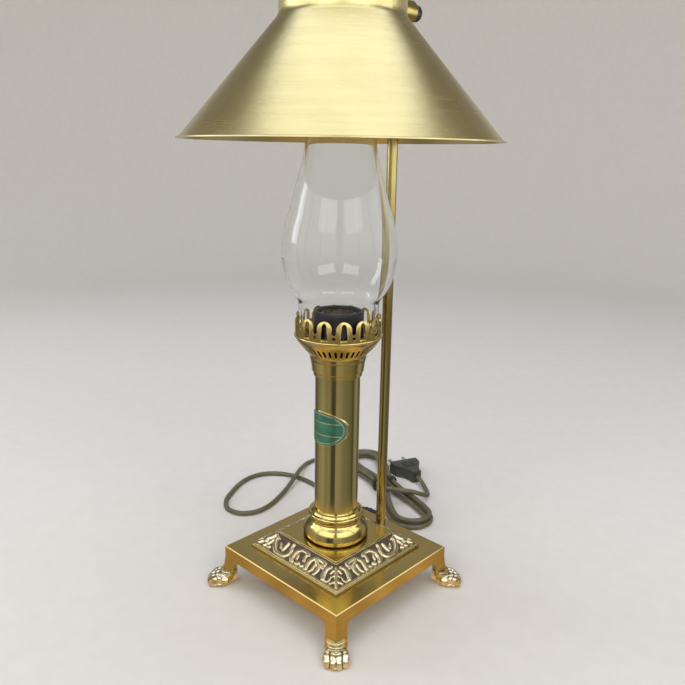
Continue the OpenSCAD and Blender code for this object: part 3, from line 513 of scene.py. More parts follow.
# Grooves between the toes, a crease over their knuckles, one behind the claws and one round the wrist, each
# pressed in and darkened with painted shade
points = np.empty(len(fused.vertices) * 3, np.float32)
fused.vertices.foreach_get("co", points)
points = points.reshape(-1, 3)
along, beside, height = points[:, 0] * 1000 - paw_reach, points[:, 1] * 1000, points[:, 2] * 1000
dark = groove(np.abs(beside) - 4.85, 0.6) * between(along, -2.5, -0.5)
dark += 0.8 * groove(beside, 0.5) * between(along, 3, 6)
dark += 0.85 * groove(along - 4.6 + 0.05 * beside ** 2, 0.55) * between(height, 5.5, 7.5)
dark += 0.7 * groove(along - 10.2 + 0.045 * beside ** 2, 0.4) * between(-height, -4.6, -3.6) * (height > 1)
dark += 0.8 * groove(height - 12.3, 0.75) * (along < 0)
dark = np.clip(dark, 0, 1)
way = np.stack([along - np.clip(along, -8, 7), beside, height - 4], axis=1)
way /= np.maximum(np.linalg.norm(way, axis=1), 1e-6)[:, None]
points -= (way * (groove_depth * dark)[:, None] / 1000).astype(np.float32)
points[:, 2] = np.clip(points[:, 2], sole_z / 1000, paw_top / 1000)
points[:, 1] *= paw_widening
points[:, 0] -= np.clip(points[:, 0] - paw_reach / 1000, 0, 1) * toe_shortening
fused.vertices.foreach_set("co", points.reshape(-1))
# The grooves and the lowest 1.8 mm of the paw are marked dark as painted shade
mark_light_and_patina(fused, np.clip(dark + 0.8 * between(-height, -1.8, -0.3), 0, 1))
fused.shade_smooth()

# Pale cream toes, part rubbed brass and part painted highlight; the dark marks are painted shade
paw_brass = cast_brass("paw_brass", Bright=(0.88, 0.82, 0.60, 1), Dark=(0.13, 0.10, 0.05, 1))
for name, side_x, side_y in (("front_left", -1, -1), ("front_right", 1, -1), ("back_left", -1, 1),
                             ("back_right", 1, 1)):
    mesh = fused.copy()
    mesh.name = "paw_" + name
    mesh.transform(Matrix.Rotation(math.atan2(side_y, side_x), 4, "Z"))
    work = bmesh.new()
    work.from_mesh(mesh)
    tang = bmesh.ops.create_cube(work, size=1.0)
    bmesh.ops.scale(work, verts=tang["verts"], vec=Vector(tang_size) / 1000)
    bmesh.ops.translate(work, verts=tang["verts"],
                        vec=Vector((side_x * tang_place, side_y * tang_place, tang_z)) / 1000)
    work.to_mesh(mesh)
    work.free()
    paw = shown("paw_" + name, mesh)
    dress(paw, paw_brass)
    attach(paw, "base")
    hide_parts("paw_foot_" + name)


# Column foot, column and collar
# Three turned pieces on the threaded tube. The foot has a bold ovolo, a hollow and a ring; the column is a
# drawn tube, polished and lacquered; the collar caps it and carries the gallery.
foot_z, collar_z = 52.3, 200
tube_bore, column_inside = 5.3, 19.15


def turned_piece(name, profile, around=160, crease=28):
    """A closed profile of (radius, height) points in mm turned round the column's axis."""
    n = len(profile)
    points, faces = [], []
    for j in range(around):
        a = 2 * math.pi * j / around
        points += [(r * math.cos(a) / 1000, r * math.sin(a) / 1000, z / 1000) for r, z in profile]
        k = (j + 1) % around
        faces += [(j * n + i, k * n + i, k * n + (i + 1) % n, j * n + (i + 1) % n) for i in range(n)]
    return built(name, points, faces, crease, closed=True)


def curved(points, steps=7):
    """The points of a smooth profile."""
    return [tuple(map(float, p)) for p in smooth_curve(points, steps)]


def arc(x, y, r, start, end, steps):
    """Points on a circle from one angle to another, in degrees."""
    turns = [math.radians(start + (end - start) * i / steps) for i in range(steps + 1)]
    return [(x + r * math.cos(a), y + r * math.sin(a)) for a in turns]


def raised(profile, z):
    """The profile at a height."""
    return [(r, h + z) for r, h in profile]


turned_brass = brass("turned_brass", Metal=(0.60, 0.47, 0.16, 1), Tarnish=(0.40, 0.25, 0.06, 1),
                     Roughness=0.08, Line_Direction=(2, 2, 60), Line_Size=40.0, Cloud_Amount=0.25,
                     Line_Depth=0.5, bump=0.1)
foot_profile = ([(tube_bore, 0), (26.6, 0), (26.6, 1.15), (27.0, 1.3), (28.5, 1.55)]
                + curved([(28.86, 2.8), (28.7, 5), (27.6, 8.6), (25.8, 11.7), (24.3, 13.3)])
                + curved([(23.5, 13.9), (22.5, 15.5), (22.5, 17.2), (23.35, 18.7)], 6)
                + arc(23, 21, 1.48, -80, 90, 12)
                + curved([(22, 22.8), (20.9, 24.2), (20.5, 25.4), (20.1, 26.2)], 5)
                + [(column_inside, 26.2), (column_inside, 4), (tube_bore, 4)])
collar_profile = ([(column_inside, 0), (20.4, 0), (20.6, 0.2), (20.6, 3.1), (20.75, 3.3), (21.2, 3.6),
                   (21.75, 3.9)]
                  + curved([(21.9, 4.2), (22.1, 6.5), (22.5, 9.4), (23.2, 13.5)], 4)
                  + [(tube_bore, 13.5), (tube_bore, 8), (column_inside, 8)])
column_foot = turned_piece("turned_foot", raised(foot_profile, foot_z))
collar = turned_piece("turned_collar", raised(collar_profile, collar_z))
for piece, node in ((column_foot, "column_foot"), (collar, "column_collar")):
    dress(piece, turned_brass)
    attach(piece, "base")
    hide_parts(node)
dress(nodes["column_tube"], brass(
    "drawn_brass", Metal=(0.52, 0.43, 0.165, 1), Tarnish=(0.34, 0.24, 0.07, 1), Roughness=0.07,
    Line_Direction=(60, 60, 1), Line_Size=30.0, Cloud_Amount=0.3, Line_Depth=0.35, bump=0.08))


# Oval plate
# A thin enamelled brass plate bent round the front of the column and glued there, with a green ground, a pale
# border line and two pale lines across it. Its sizes are in metres, as a place on the piece is.
plate_r, plate_z, plate_half_width, plate_half_height = 0.0191, 0.156, 0.024, 0.015
enamel, tree, shader = bare_material("plate_enamel")
place = own_place(tree)
xyz = put(tree, "ShaderNodeSeparateXYZ", {0: place}).outputs
angle = maths(tree, "ARCTAN2", xyz["X"], maths(tree, "MULTIPLY", xyz["Y"], -1.0))
width = maths(tree, "MULTIPLY", angle, plate_r / plate_half_width)
tall = maths(tree, "DIVIDE", maths(tree, "SUBTRACT", xyz["Z"], plate_z), plate_half_height)
oval = put(tree, "ShaderNodeCombineXYZ", {"X": width, "Y": tall}).outputs[0]
rim = put(tree, "ShaderNodeVectorMath", {0: oval}, operation="LENGTH").outputs["Value"]


def band(value, middle, half):
    """1 within half of the middle, with a soft edge."""
    away = maths(tree, "ABSOLUTE", maths(tree, "SUBTRACT", value, middle))
    return ramp(tree, away, half, half * 0.6)


lines = maths(tree, "MULTIPLY", band(maths(tree, "ABSOLUTE", tall), 0.36, 0.03),
              maths(tree, "LESS_THAN", rim, 0.84))
pale = maths(tree, "MAXIMUM", band(rim, 0.86, 0.035), lines)
flow = noise(tree, place, 90.0, 4.0)
ground = mixed(tree, ramp(tree, flow, 0.35, 0.7), (0.018, 0.10, 0.055, 1), (0.03, 0.17, 0.10, 1))
edge = ramp(tree, rim, 0.95, 0.975)
painted = mixed(tree, pale, ground, (0.62, 0.60, 0.42, 1))
bare = maths(tree, "MAXIMUM", pale, edge)
feed(shader, {"Base Color": mixed(tree, edge, painted, (0.66, 0.53, 0.24, 1)), "Metallic": bare,
              "Roughness": scaled(tree, flow, 0.14, 0.26), "Normal": bumped(tree, bare, 0.4, 0.0002),
              "Coat Weight": 0.6, "Coat Roughness": 0.05})
dress(nodes["oval_plate"], enamel)


# Gallery
# The gallery is spun and pierced from 1.2 mm brass: a bowl with a ring of vents under a crown of arched
# prongs that hold the glass. The crown has a tapered slot in each prong and a round hole between prongs.
crown_r, wall = 35.9, 1.2
bowl_z, crown_z, crown_top, ledge_z = 213.5, 233.3, 252.3, 236.4
bowl_foot_r, floor_thick, band_high, ledge_r, ledge_thick = 22.4, 1.4, 2.2, 28.5, 1.1
vents, vent_half, vent_low, vent_high = 40, 0.95, 6.3, 14.3
prongs, gap_half, prong_lean, lean_height = 14, 1.7, 1.3, 9
pierced_brass = brass("pierced_brass", Metal=(0.60, 0.47, 0.17, 1), Tarnish=(0.36, 0.22, 0.06, 1),
                      Roughness=0.12, Line_Direction=(2, 2, 60), Line_Size=40.0, Cloud_Amount=0.45,
                      Cloud_Size=30.0, Line_Depth=0.5, bump=0.12)

# One sector of the bowl, with its vent narrowed at both ends
bowl_outside = curved([(bowl_foot_r, 0), (23.6, 0.92), (24.1, 4.0), (25.6, 6.4), (28.3, 9.2), (31.9, 13.6),
                       (34.6, 17.2), (crown_r, 19.8)], 5)
half_sector = math.pi / vents
vent_rows = [i for i, (r, z) in enumerate(bowl_outside) if vent_low <= z <= vent_high]
vent_ends = {vent_rows[0]: 0.55, vent_rows[1]: 0.92, vent_rows[-2]: 0.92, vent_rows[-1]: 0.55}
points, faces = [], []
for i, (r, z) in enumerate(bowl_outside):
    vent = vent_half * vent_ends.get(i, 1.0) / r
    right = [0, vent * 0.35, vent, (vent + half_sector) / 2, half_sector]
    turns = [-a for a in right[:0:-1]] + right
    points += [(r * math.cos(a) / 1000, r * math.sin(a) / 1000, (bowl_z + z) / 1000) for a in turns]
columns = len(turns)
for i in range(len(bowl_outside) - 1):
    pierced = i in vent_rows and i + 1 in vent_rows
    faces += [(i * columns + j, i * columns + j + 1, (i + 1) * columns + j + 1, (i + 1) * columns + j)
              for j in range(columns - 1) if not (pierced and 2 <= j <= 5)]
bowl = grown("gallery_bowl_spun", built("bowl_sector", points, faces), round_axis, Copies=vents,
             Finish=pierced_brass, First_Angle=half_sector)
wall_of_bowl = bowl.modifiers.new("wall", "SOLIDIFY")
wall_of_bowl.thickness = wall / 1000
wall_of_bowl.offset = -1
round_edges(bowl, 0.18)
bowl_floor = turned_piece("bowl_floor", raised([(tube_bore, 0), (bowl_foot_r, 0), (bowl_foot_r, floor_thick),
                                                (tube_bore, floor_thick)], bowl_z))
dress(bowl_floor, pierced_brass)
for piece in (bowl, bowl_floor):
    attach(piece, "base")
    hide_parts("gallery_bowl")

# One prong of the crown, laid flat and then bent round
edge_x = math.pi * crown_r / prongs
arch = edge_x - gap_half
arch_z = crown_top - arch
gap_z = arch_z - 2.6
hole_z, hole_r, prong_z = crown_z + 5.5, 1.4, crown_z + band_high - 0.05
slot_half, slot_z, slot_top_r, slot_top_z = 2.8, crown_z + 3.6, 1.8, crown_top - 3.5
outline = ([(-edge_x, prong_z), (edge_x, prong_z)]
           + arc(edge_x, hole_z, hole_r, 270, 90, 8) + arc(edge_x, gap_z, gap_half, 270, 180, 7)
           + arc(0, arch_z, arch, 0, 180, 24)
           + arc(-edge_x, gap_z, gap_half, 0, -90, 7) + arc(-edge_x, hole_z, hole_r, 90, -90, 8))
slot = [(-slot_half, slot_z), (slot_half, slot_z)] + arc(0, slot_top_z, slot_top_r, 0, 180, 12)


def loop(work, points):
    """A closed line of edges through the points."""
    verts = [work.verts.new((x, 0, z)) for x, z in points]
    return [work.edges.new((verts[i], verts[(i + 1) % len(verts)])) for i in range(len(verts))]


work = bmesh.new()
bmesh.ops.triangle_fill(work, use_beauty=True, edges=loop(work, outline) + loop(work, slot))
bends = 14
for k in range(1, bends):
    bmesh.ops.bisect_plane(work, geom=work.verts[:] + work.edges[:] + work.faces[:], dist=1e-5,
                           plane_co=(edge_x * (2 * k / bends - 1), 0, 0), plane_no=(1, 0, 0))
for face in work.faces:
    if face.normal.y > 0:
        face.normal_flip()
thickened = bmesh.ops.extrude_face_region(work, geom=list(work.faces))
for v in (g for g in thickened["geom"] if isinstance(g, bmesh.types.BMVert)):
    v.co.y += wall
seams = [f for f in work.faces if all(abs(abs(v.co.x) - edge_x) < 1e-4 for v in f.verts)]
bmesh.ops.delete(work, geom=seams, context="FACES")
for v in work.verts:
    a = v.co.x / crown_r
    r = crown_r - v.co.y - prong_lean * between(v.co.z, crown_top - lean_height, crown_top) ** 2
    v.co = (r * math.sin(a) / 1000, -r * math.cos(a) / 1000, v.co.z / 1000)
crown = grown("gallery_crown_pierced", shown("crown_prong", mesh_of("crown_prong", work)), round_axis,
              Copies=prongs, Finish=pierced_brass, First_Angle=math.pi / 2 + math.pi / prongs)
outward(crown.data)
crown.data.shade_smooth()
crown.data.set_sharp_from_angle(angle=math.radians(35))
round_edges(crown, 0.2)
r_in = crown_r - wall
bead = arc(crown_r - 0.3, band_high / 2, band_high / 2, -90, 90, 12)
crown_band = turned_piece("crown_band", raised([(r_in, 0)] + bead + [(crown_r, band_high), (r_in, band_high)],
                                               crown_z))
crown_ledge = turned_piece("crown_ledge", raised([
    (ledge_r, 0), (r_in + 0.2, 0), (r_in + 0.2, ledge_thick), (ledge_r + 0.2, ledge_thick),
    (ledge_r, ledge_thick - 0.2)], ledge_z))
for piece in (crown_band, crown_ledge):
    dress(piece, pierced_brass)
for piece in (crown, crown_band, crown_ledge):
    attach(piece, "base")
    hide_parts("gallery_crown")


# Chimney
# Clear blown glass with a straight foot, a round bulge and a long neck, fire-polished at both ends. It
# stands loose in the crown and lifts out.
glass_foot, bulge, flue, glass_wall, chimney_z = 33.2, 46.6, 26.7, 2.0, 237.6
bulge_z, neck_z, glass_top = 64.5, 168, 248
glass_line = [(glass_foot, 0), (glass_foot, 16.1), (glass_foot + 0.27, 25.2)]
glass_line += [(glass_foot + (bulge - glass_foot) * widened, z) for widened, z in (
    (0.42, 33.5), (0.74, 42.6), (0.95, 54.8), (1, bulge_z))]
glass_line += [(bulge + (flue - bulge) * narrowed, bulge_z + (neck_z - bulge_z) * up) for narrowed, up in (
    (0.05, 0.111), (0.17, 0.232), (0.33, 0.329), (0.53, 0.473), (0.72, 0.6), (0.87, 0.715), (0.95, 0.826),
    (1, 1))]
glass_outside = curved(glass_line + [(flue, 205), (flue, glass_top)], 6)[1:-1]
glass_inside = [(r - glass_wall, z) for r, z in reversed(glass_outside)]
lip = glass_wall / 2
glass_profile = (glass_outside + arc(flue - lip, glass_top, lip, 0, 180, 8)
                 + glass_inside + arc(glass_foot - lip, 1, lip, 180, 360, 8))
chimney = turned_piece("chimney_glass", raised(glass_profile, chimney_z), 128, 60)
clear_glass, tree, shader = bare_material("clear_glass")
place = own_place(tree)
haze = noise(tree, place, 45.0, 5.0, 0.65)
feed(shader, {"Transmission Weight": 1.0, "IOR": 1.36,
              "Base Color": mixed(tree, haze, (0.985, 0.995, 0.99, 1), (0.965, 0.985, 0.975, 1)),
              "Roughness": scaled(tree, ramp(tree, haze, 0.5, 0.75), 0.0, 0.035),
              "Normal": bumped(tree, noise(tree, place, 18.0), 0.08, 0.002)})
dress(chimney, clear_glass)
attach(chimney, "glass")
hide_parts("chimney")


# Threaded tube, washers, nuts and screws
# Zinc-plated steel: the hollow tube runs up through the whole column, and its nut under the plinth pulls
# the stack of pieces together. The rod's washer and nut and the shade's screws are plated alike.
plated, tree, shader = bare_material("plated_steel")
place = own_place(tree)
spangle = put(tree, "ShaderNodeTexVoronoi", {"Vector": place, "Scale": 700.0}).outputs["Color"]
zinc = noise(tree, place, 130.0, 6.0)
shine = mixed(tree, ramp(tree, zinc, 0.35, 0.65), (0.62, 0.60, 0.54, 1), (0.50, 0.47, 0.38, 1))
feed(shader, {"Metallic": 1.0, "Base Color": mixed(tree, 0.12, shine, spangle, "SOFT_LIGHT"),
              "Roughness": scaled(tree, zinc, 0.24, 0.45), "Normal": bumped(tree, zinc, 0.12, 0.0002)})
for name in ("threaded_tube", "tube_washer", "tube_nut", "rod_washer", "rod_nut", "boss_screw",
             "thumb_screw"):
    dress(nodes[name], plated)


# Lampholder
# Black moulded plastic cap and shell over the white contact block, the brass screw shell, the centre contact
# and two terminal screws. The flex inside has a pale sheath.
moulded, given, result = effect("moulded_surface", [
    ("Colour", "Color", (0.02, 0.02, 0.022, 1)), ("Wear Colour", "Color", (0.05, 0.05, 0.05, 1)),
    ("Texture Size", "Float", 1500.0), ("Roughness", "Float", 0.32)], [
    ("Color", "Color"), ("Roughness", "Float"), ("Height", "Float")])
place = own_place(moulded)
scuffed = ramp(moulded, noise(moulded, place, 60.0, 5.0, 0.7), 0.5, 0.72)
feed(result, {"Color": mixed(moulded, scuffed, given["Colour"], given["Wear Colour"]),
              "Roughness": maths(moulded, "MULTIPLY_ADD", scuffed, 0.18, given["Roughness"]),
              "Height": noise(moulded, place, given["Texture Size"], 4.0)})


def plastic(name, bump=0.12, **values):
    """A moulded plastic or rubber, with its own values for moulded_surface."""
    return finished_with(name, moulded, bump, 0.0002, values)[0]


holder_plastic = plastic("holder_plastic", Colour=(0.002, 0.003, 0.013, 1),
                         Wear_Colour=(0.006, 0.007, 0.020, 1), Roughness=0.3)
feed(holder_plastic.node_tree.nodes["Principled BSDF"], {"Specular IOR Level": 0.08})
for name in ("holder_cap", "holder_shell"):
    dress(nodes[name], holder_plastic)
dress(nodes["contact_block"], plastic("insulator", Colour=(0.72, 0.70, 0.64, 1),
                                      Wear_Colour=(0.62, 0.58, 0.50, 1), Texture_Size=900.0,
                                      Roughness=0.5, bump=0.2))
contact_brass = brass("contact_brass", Metal=(0.70, 0.62, 0.42, 1), Tarnish=(0.42, 0.30, 0.14, 1),
                      Roughness=0.22, Cloud_Size=60.0, Line_Direction=(2, 2, 60))
for name in ("socket_shell", "centre_contact", "terminal_screws"):
    dress(nodes[name], contact_brass)
dress(nodes["inner_flex"], plastic("flex_sheath", Colour=(0.62, 0.58, 0.48, 1),
                                   Wear_Colour=(0.52, 0.47, 0.37, 1), Texture_Size=800.0, Roughness=0.55))


# Side rod
# A solid polished brass rod with a domed cap that keeps the shade on it. Its threaded foot goes through the
# plinth's flange, where a washer and a nut hold it from below.
rod_y, cap_z, cap_r = 62, 508, 6.0
# The rod's brass is a darker copy of the other brass: painted shade on the rod
dress(nodes["side_rod"], brass(
    "rod_brass", Metal=(0.40, 0.32, 0.12, 1), Tarnish=(0.26, 0.18, 0.06, 1), Roughness=0.12,
    Line_Direction=(60, 60, 1), Line_Size=30.0, Cloud_Amount=0.4, Line_Depth=0.35, bump=0.08))
dome_r = cap_r - 0.12
rod_cap = turned_piece("rod_cap_turned", [(0.01, 0), (cap_r - 0.3, 0), (cap_r, 0.3), (cap_r, 2.6),
                                          (cap_r - 0.25, 2.9)]
                       + arc(0, 3, dome_r, 2, 89.5, 14) + [(0.01, 3 + dome_r)], 64)
rod_cap.data.transform(Matrix.Translation(Vector((0, rod_y, cap_z)) / 1000))
dress(rod_cap, turned_brass)
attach(rod_cap, "rod")
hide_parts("rod_cap")


# Shade
# A cone spun from thin sheet brass with an outward lip and a straight neck, brushed round and lacquered to a
# satin sheen. The boss screwed to its neck clamps the rod with a thumb screw that has a black knob.
satin, tree, shader = bare_material("satin_spun_brass")
place = own_place(tree)
fine = noise(tree, stretched(tree, place, (6, 6, 900)), 6.0, 6.0, 0.7)
spun = noise(tree, stretched(tree, place, (3, 3, 60)), 4.0, 4.0)
cloudy = ramp(tree, noise(tree, place, 9.0, 5.0, 0.6), 0.35, 0.7)
metal = mixed(tree, cloudy, (0.60, 0.51, 0.23, 1), (0.54, 0.45, 0.19, 1))
metal = mixed(tree, maths(tree, "MULTIPLY", ramp(tree, spun, 0.4, 0.65), 0.16), metal, (0.46, 0.37, 0.15, 1))
metal = mixed(tree, maths(tree, "MULTIPLY", ramp(tree, fine, 0.45, 0.75), 0.22), metal, (0.74, 0.68, 0.42, 1))
feed(shader, {"Metallic": 1.0, "Coat Weight": 0.15, "Coat Roughness": 0.2, "Base Color": metal,
              "Roughness": scaled(tree, spun, 0.21, 0.31), "Normal": bumped(tree, fine, 0.22, 0.0003)})
dress(nodes["shade"], satin)
dress(nodes["shade_boss"], turned_brass)
dress(nodes["thumb_knob"], plastic("knob_plastic", Colour=(0.015, 0.015, 0.016, 1),
                                   Wear_Colour=(0.05, 0.048, 0.045, 1), Roughness=0.3))


# Strain relief
# A ribbed black rubber sleeve on the cord where it leaves the back skirt, with a round grommet in the skirt's
# hole. It tapers along the cord and bends down with it.
relief_x, relief_z, relief_r, relief_taper, rib_count, rib_cut = -36, 30, 4.1, 0.85, 9.5, 0.86


def tube_mesh(name, line, radius, sides=14):
    """A closed round tube along the line, with u round it and v along it, all in mm."""
    line = np.array(line)
    heading = np.gradient(line, axis=0)
    heading /= np.linalg.norm(heading, axis=1)[:, None]
    radius = np.broadcast_to(radius, len(line))
    normal = np.cross(heading[0], (0, 0, 1))
    normal /= np.linalg.norm(normal)
    points = []
    for p, t, r in zip(line, heading, radius):
        normal = normal - np.dot(normal, t) * t
        normal /= np.linalg.norm(normal)
        other = np.cross(t, normal)
        turns = [2 * math.pi * j / sides for j in range(sides)]
        points += [(p + r * (math.cos(a) * normal + math.sin(a) * other)) / 1000 for a in turns]
    rings = [[sides * i + j for j in range(sides)] for i in range(len(line))]
    faces = [(low[j], low[(j + 1) % sides], high[(j + 1) % sides], high[j])
             for low, high in zip(rings, rings[1:]) for j in range(sides)]
    piece = built(name, points, faces + [tuple(reversed(rings[0])), tuple(rings[-1])])
    along = np.concatenate([[0], np.cumsum(np.linalg.norm(np.diff(line, axis=0), axis=1))])
    girth = 2 * math.pi * float(np.mean(radius))
    corners = iter(piece.data.uv_layers.new(name="UVMap").data)
    for i in range(len(line) - 1):
        for j in range(sides):
            for u, v in ((j, i), (j + 1, i), (j + 1, i + 1), (j, i + 1)):
                next(corners).uv = (u / sides * girth, along[v])
    return piece


relief_line = smooth_curve([(relief_x, 66.5, relief_z), (relief_x, 70, relief_z), (relief_x, 74, relief_z),
                            (-34.5, 78, 29.7), (-30, 81.5, 28.8), (-24, 83, 27.2), (-17, 83.5, 25)], 18)
relief_share = np.linspace(0, 1, len(relief_line))
ribbed = (np.sin(2 * math.pi * rib_count * relief_share) < 0) & (relief_share > 0.3) & (relief_share < 0.95)
relief_radius = (relief_r - relief_taper * relief_share) * np.where(ribbed, rib_cut, 1)
rubber = plastic("black_rubber", Colour=(0.012, 0.012, 0.012, 1), Wear_Colour=(0.035, 0.034, 0.032, 1),
                 Texture_Size=1200.0, Roughness=0.5, bump=0.2)
relief_sleeve = tube_mesh("relief_sleeve", relief_line, relief_radius, 24)
grommet_line = [(relief_x, y, relief_z) for y in (70.05, 70.4, 70.8, 71.3, 71.7, 72.0)]
grommet = tube_mesh("relief_grommet", grommet_line, (5.3, 5.6, 5.65, 5.6, 5.3, 4.6), 40)
for piece in (relief_sleeve, grommet):
    piece.data.set_sharp_from_angle(angle=math.radians(40))
    dress(piece, rubber)
    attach(piece, "base")
    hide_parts("strain_relief")


# Cord tie
# A soft black rubber band round the waist of the hank, which lies folded on the table behind the lamp.
hank_centre, hank_turn = (-87, 174), math.radians(-28)
tie_x, tie_middle, tie_half, tie_corner = -2.5, (-1.45, 7.05), (13.85, 6.35), 3.4
tie_half_width, tie_half_thick = 2.5, 0.6


def on_table(p):
    """A point in the hank's own directions, placed behind the lamp."""
    c, s = math.cos(hank_turn), math.sin(hank_turn)
    return (hank_centre[0] + p[0] * c - p[1] * s, hank_centre[1] + p[0] * s + p[1] * c, p[2])


tie_section = [(-1, -0.6), (-0.9, -1), (0.9, -1), (1, -0.6), (1, 0.6), (0.9, 1), (0.3, 1.05), (-0.3, 1.05),
               (-0.9, 1), (-1, 0.6)]
tie_loop = [(side * (tie_half[0] - tie_corner), up * (tie_half[1] - tie_corner), math.radians(first + 9 * k))
            for side, up, first in ((1, 1, 0), (-1, 1, 90), (-1, -1, 180), (1, -1, 270)) for k in range(11)]
points = [Vector(on_table((tie_x + x * tie_half_width,
                           tie_middle[0] + w + (tie_corner + out * tie_half_thick) * math.cos(a),
                           tie_middle[1] + z + (tie_corner + out * tie_half_thick) * math.sin(a)))) / 1000
          for w, z, a in tie_loop for x, out in tie_section]
n = len(tie_section)
faces = [(i * n + j, i * n + (j + 1) % n, k * n + (j + 1) % n, k * n + j)
         for i, k in ((i, (i + 1) % len(tie_loop)) for i in range(len(tie_loop))) for j in range(n)]
hank_tie = built("hank_tie", points, faces, 50, closed=True)
dress(hank_tie, rubber)
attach(hank_tie, "base")
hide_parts("cord_tie")


# Plug
# A flat moulded two-pin plug in dark olive plastic with soft edges and finger ribs on top. The two
# nickel-plated pins are moulded in.
cord_end, cord_end_z, cord_run_in = (0, 42.4), 6.8, 7
plug_heading = math.radians(185)
plug_seat = (cord_end[0] + cord_run_in * math.cos(plug_heading),
             cord_end[1] + cord_run_in * math.sin(plug_heading))
plug_edge, rib_size, rib_edge, rib_step, first_rib, rib_z = 1.4, (1.1, 15.6, 0.7), 0.3, 2.6, 16.5, 14.15
plug_plastic = plastic("plug_plastic", Colour=(0.040, 0.045, 0.034, 1), Wear_Colour=(0.085, 0.088, 0.068, 1),
                       Texture_Size=1300.0, Roughness=0.42, bump=0.2)
plug_shell = pressed_copy("plug_body", plug_edge)
dress(plug_shell, plug_plastic)

# In a row: copies of one piece side by side along X
in_a_row, given, result = node_tree("in_a_row", [
    ("Copies", "Int", 5), ("Step", "Float", 0.0026), ("Finish", "Material", None)])
step = put(in_a_row, "ShaderNodeCombineXYZ", {"X": given["Step"]}).outputs[0]
line = put(in_a_row, "GeometryNodeMeshLine", {"Count": given["Copies"], "Offset": step}).outputs[0]
copies = put(in_a_row, "GeometryNodeInstanceOnPoints", {"Points": line, "Instance": given["Geometry"]})
real = put(in_a_row, "GeometryNodeRealizeInstances", {0: copies.outputs[0]}).outputs[0]
feed(result, {0: put(in_a_row, "GeometryNodeSetMaterial", {"Geometry": real,
                                                           "Material": given["Finish"]}).outputs[0]})

work = bmesh.new()
bmesh.ops.create_cube(work, size=1.0)
bmesh.ops.scale(work, verts=work.verts, vec=Vector(rib_size) / 1000)
bmesh.ops.bevel(work, geom=work.verts[:] + work.edges[:], offset=rib_edge / 1000, segments=2, affect="EDGES")
grip = grown("plug_grip", shown("grip_rib", mesh_of("grip_rib", work)), in_a_row, Copies=5,
             Step=rib_step / 1000, Finish=plug_plastic)
grip.data.transform(Matrix.Translation(Vector(on_table((*plug_seat, 0))) / 1000)
                    @ Matrix.Rotation(hank_turn + plug_heading, 4, "Z")
                    @ Matrix.Translation(Vector((first_rib, 0, rib_z)) / 1000))
for piece in (plug_shell, grip):
    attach(piece, "base")
    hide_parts("plug_body")
dress(nodes["plug_pins"], brass("nickelled_pin", Metal=(0.62, 0.60, 0.55, 1), Tarnish=(0.42, 0.38, 0.30, 1),
                                Roughness=0.2, Cloud_Size=90.0, Line_Direction=(30, 30, 2), Spot_Amount=0.3))


# Mains cord
# One round olive sheath from the back of the plinth. It drops to the table, makes a wide loose loop beside
# the lamp, folds into a tied hank behind it and ends in the plug.
cord_r, cord_on_table = 2.5, 2.5
lead_points = [
    (-17, 83.5, 25), (-12, 84, 23.4), (-3, 84, 19.5), (8, 83, 13.5), (18, 82.5, 7.5), (28, 83.5, 3.6),
    (37, 88, 2.5), (41, 96, 2.5), (37, 105, 2.5), (27, 109, 2.5), (12, 109, 2.5), (-6, 109, 2.5),
    (-26, 109, 2.5), (-48, 110, 2.5), (-70, 111, 2.5), (-92, 112, 2.5), (-113, 114, 2.5),
    (-134, 117, 2.5), (-155, 119, 2.5), (-171, 119, 2.5), (-188, 116, 2.5), (-204, 107, 2.5),
    (-215, 93, 2.5), (-217.8, 76, 2.5), (-213, 57, 2.5), (-203, 38, 2.5), (-191, 21, 2.5),
    (-174, 11, 2.5), (-157, 15, 2.5), (-148, 30, 2.5), (-149, 48, 2.5), (-155, 66, 2.7),
    (-162, 84, 4.2), (-169, 100, 7), (-176, 114, 8.8), (-184, 127, 8.2), (-192, 139, 5.2),
    (-199, 152, 2.8), (-200, 166, 2.5), (-196, 179, 2.5), (-187, 188, 2.5), (-176, 191, 2.5)]
tail_points = [
    (20, -12, 13), (27, -8, 15.4), (32.5, -1, 15.8), (36.5, 7, 15.2), (40, 15, 14.4), (42, 23, 11.8),
    (40, 30.5, 8), (34.5, 36.3, 4.6), (27, 40.2, 2.8), (17.5, 42.2, 3.4), (8, 42.6, 5.4),
    (*cord_end, cord_end_z)]

# The hank is a little over three loops, each of four parts: a run, a fold, a run back and a fold. The runs
# are drawn together under the tie, and the last loops lie on the first.
part_steps, run_half, fold_r, fold_widening, layer_rise = 6, 72, 15, 6.2, 5.7
waist_half, waist_widening, waist_lift = 2.9, 5.9, 1.7
top_from, top_to, hank_last = 36, 42, 75


def hank_point(k):
    """Point k of the hank, in the hank's own directions."""
    wider = max(top_from - k, k - top_to, 0) / (4 * part_steps)
    r = fold_r + fold_widening * wider
    z = cord_on_table + layer_rise * between(k, top_from, top_to)
    part, done = k // part_steps % 4, k % part_steps / part_steps
    side, forward = (-1, 1) if part < 2 else (1, -1)
    if part in (1, 3):
        a = math.pi * done
        return (forward * (run_half + r * math.sin(a)), -forward * r * math.cos(a), z)
    s = forward * run_half * (2 * done - 1)
    drawn = math.cos(math.pi / 2 * s / run_half) ** 2
    return (s, side * (r + (waist_half + waist_widening * wider - r) * drawn), z + waist_lift * drawn)


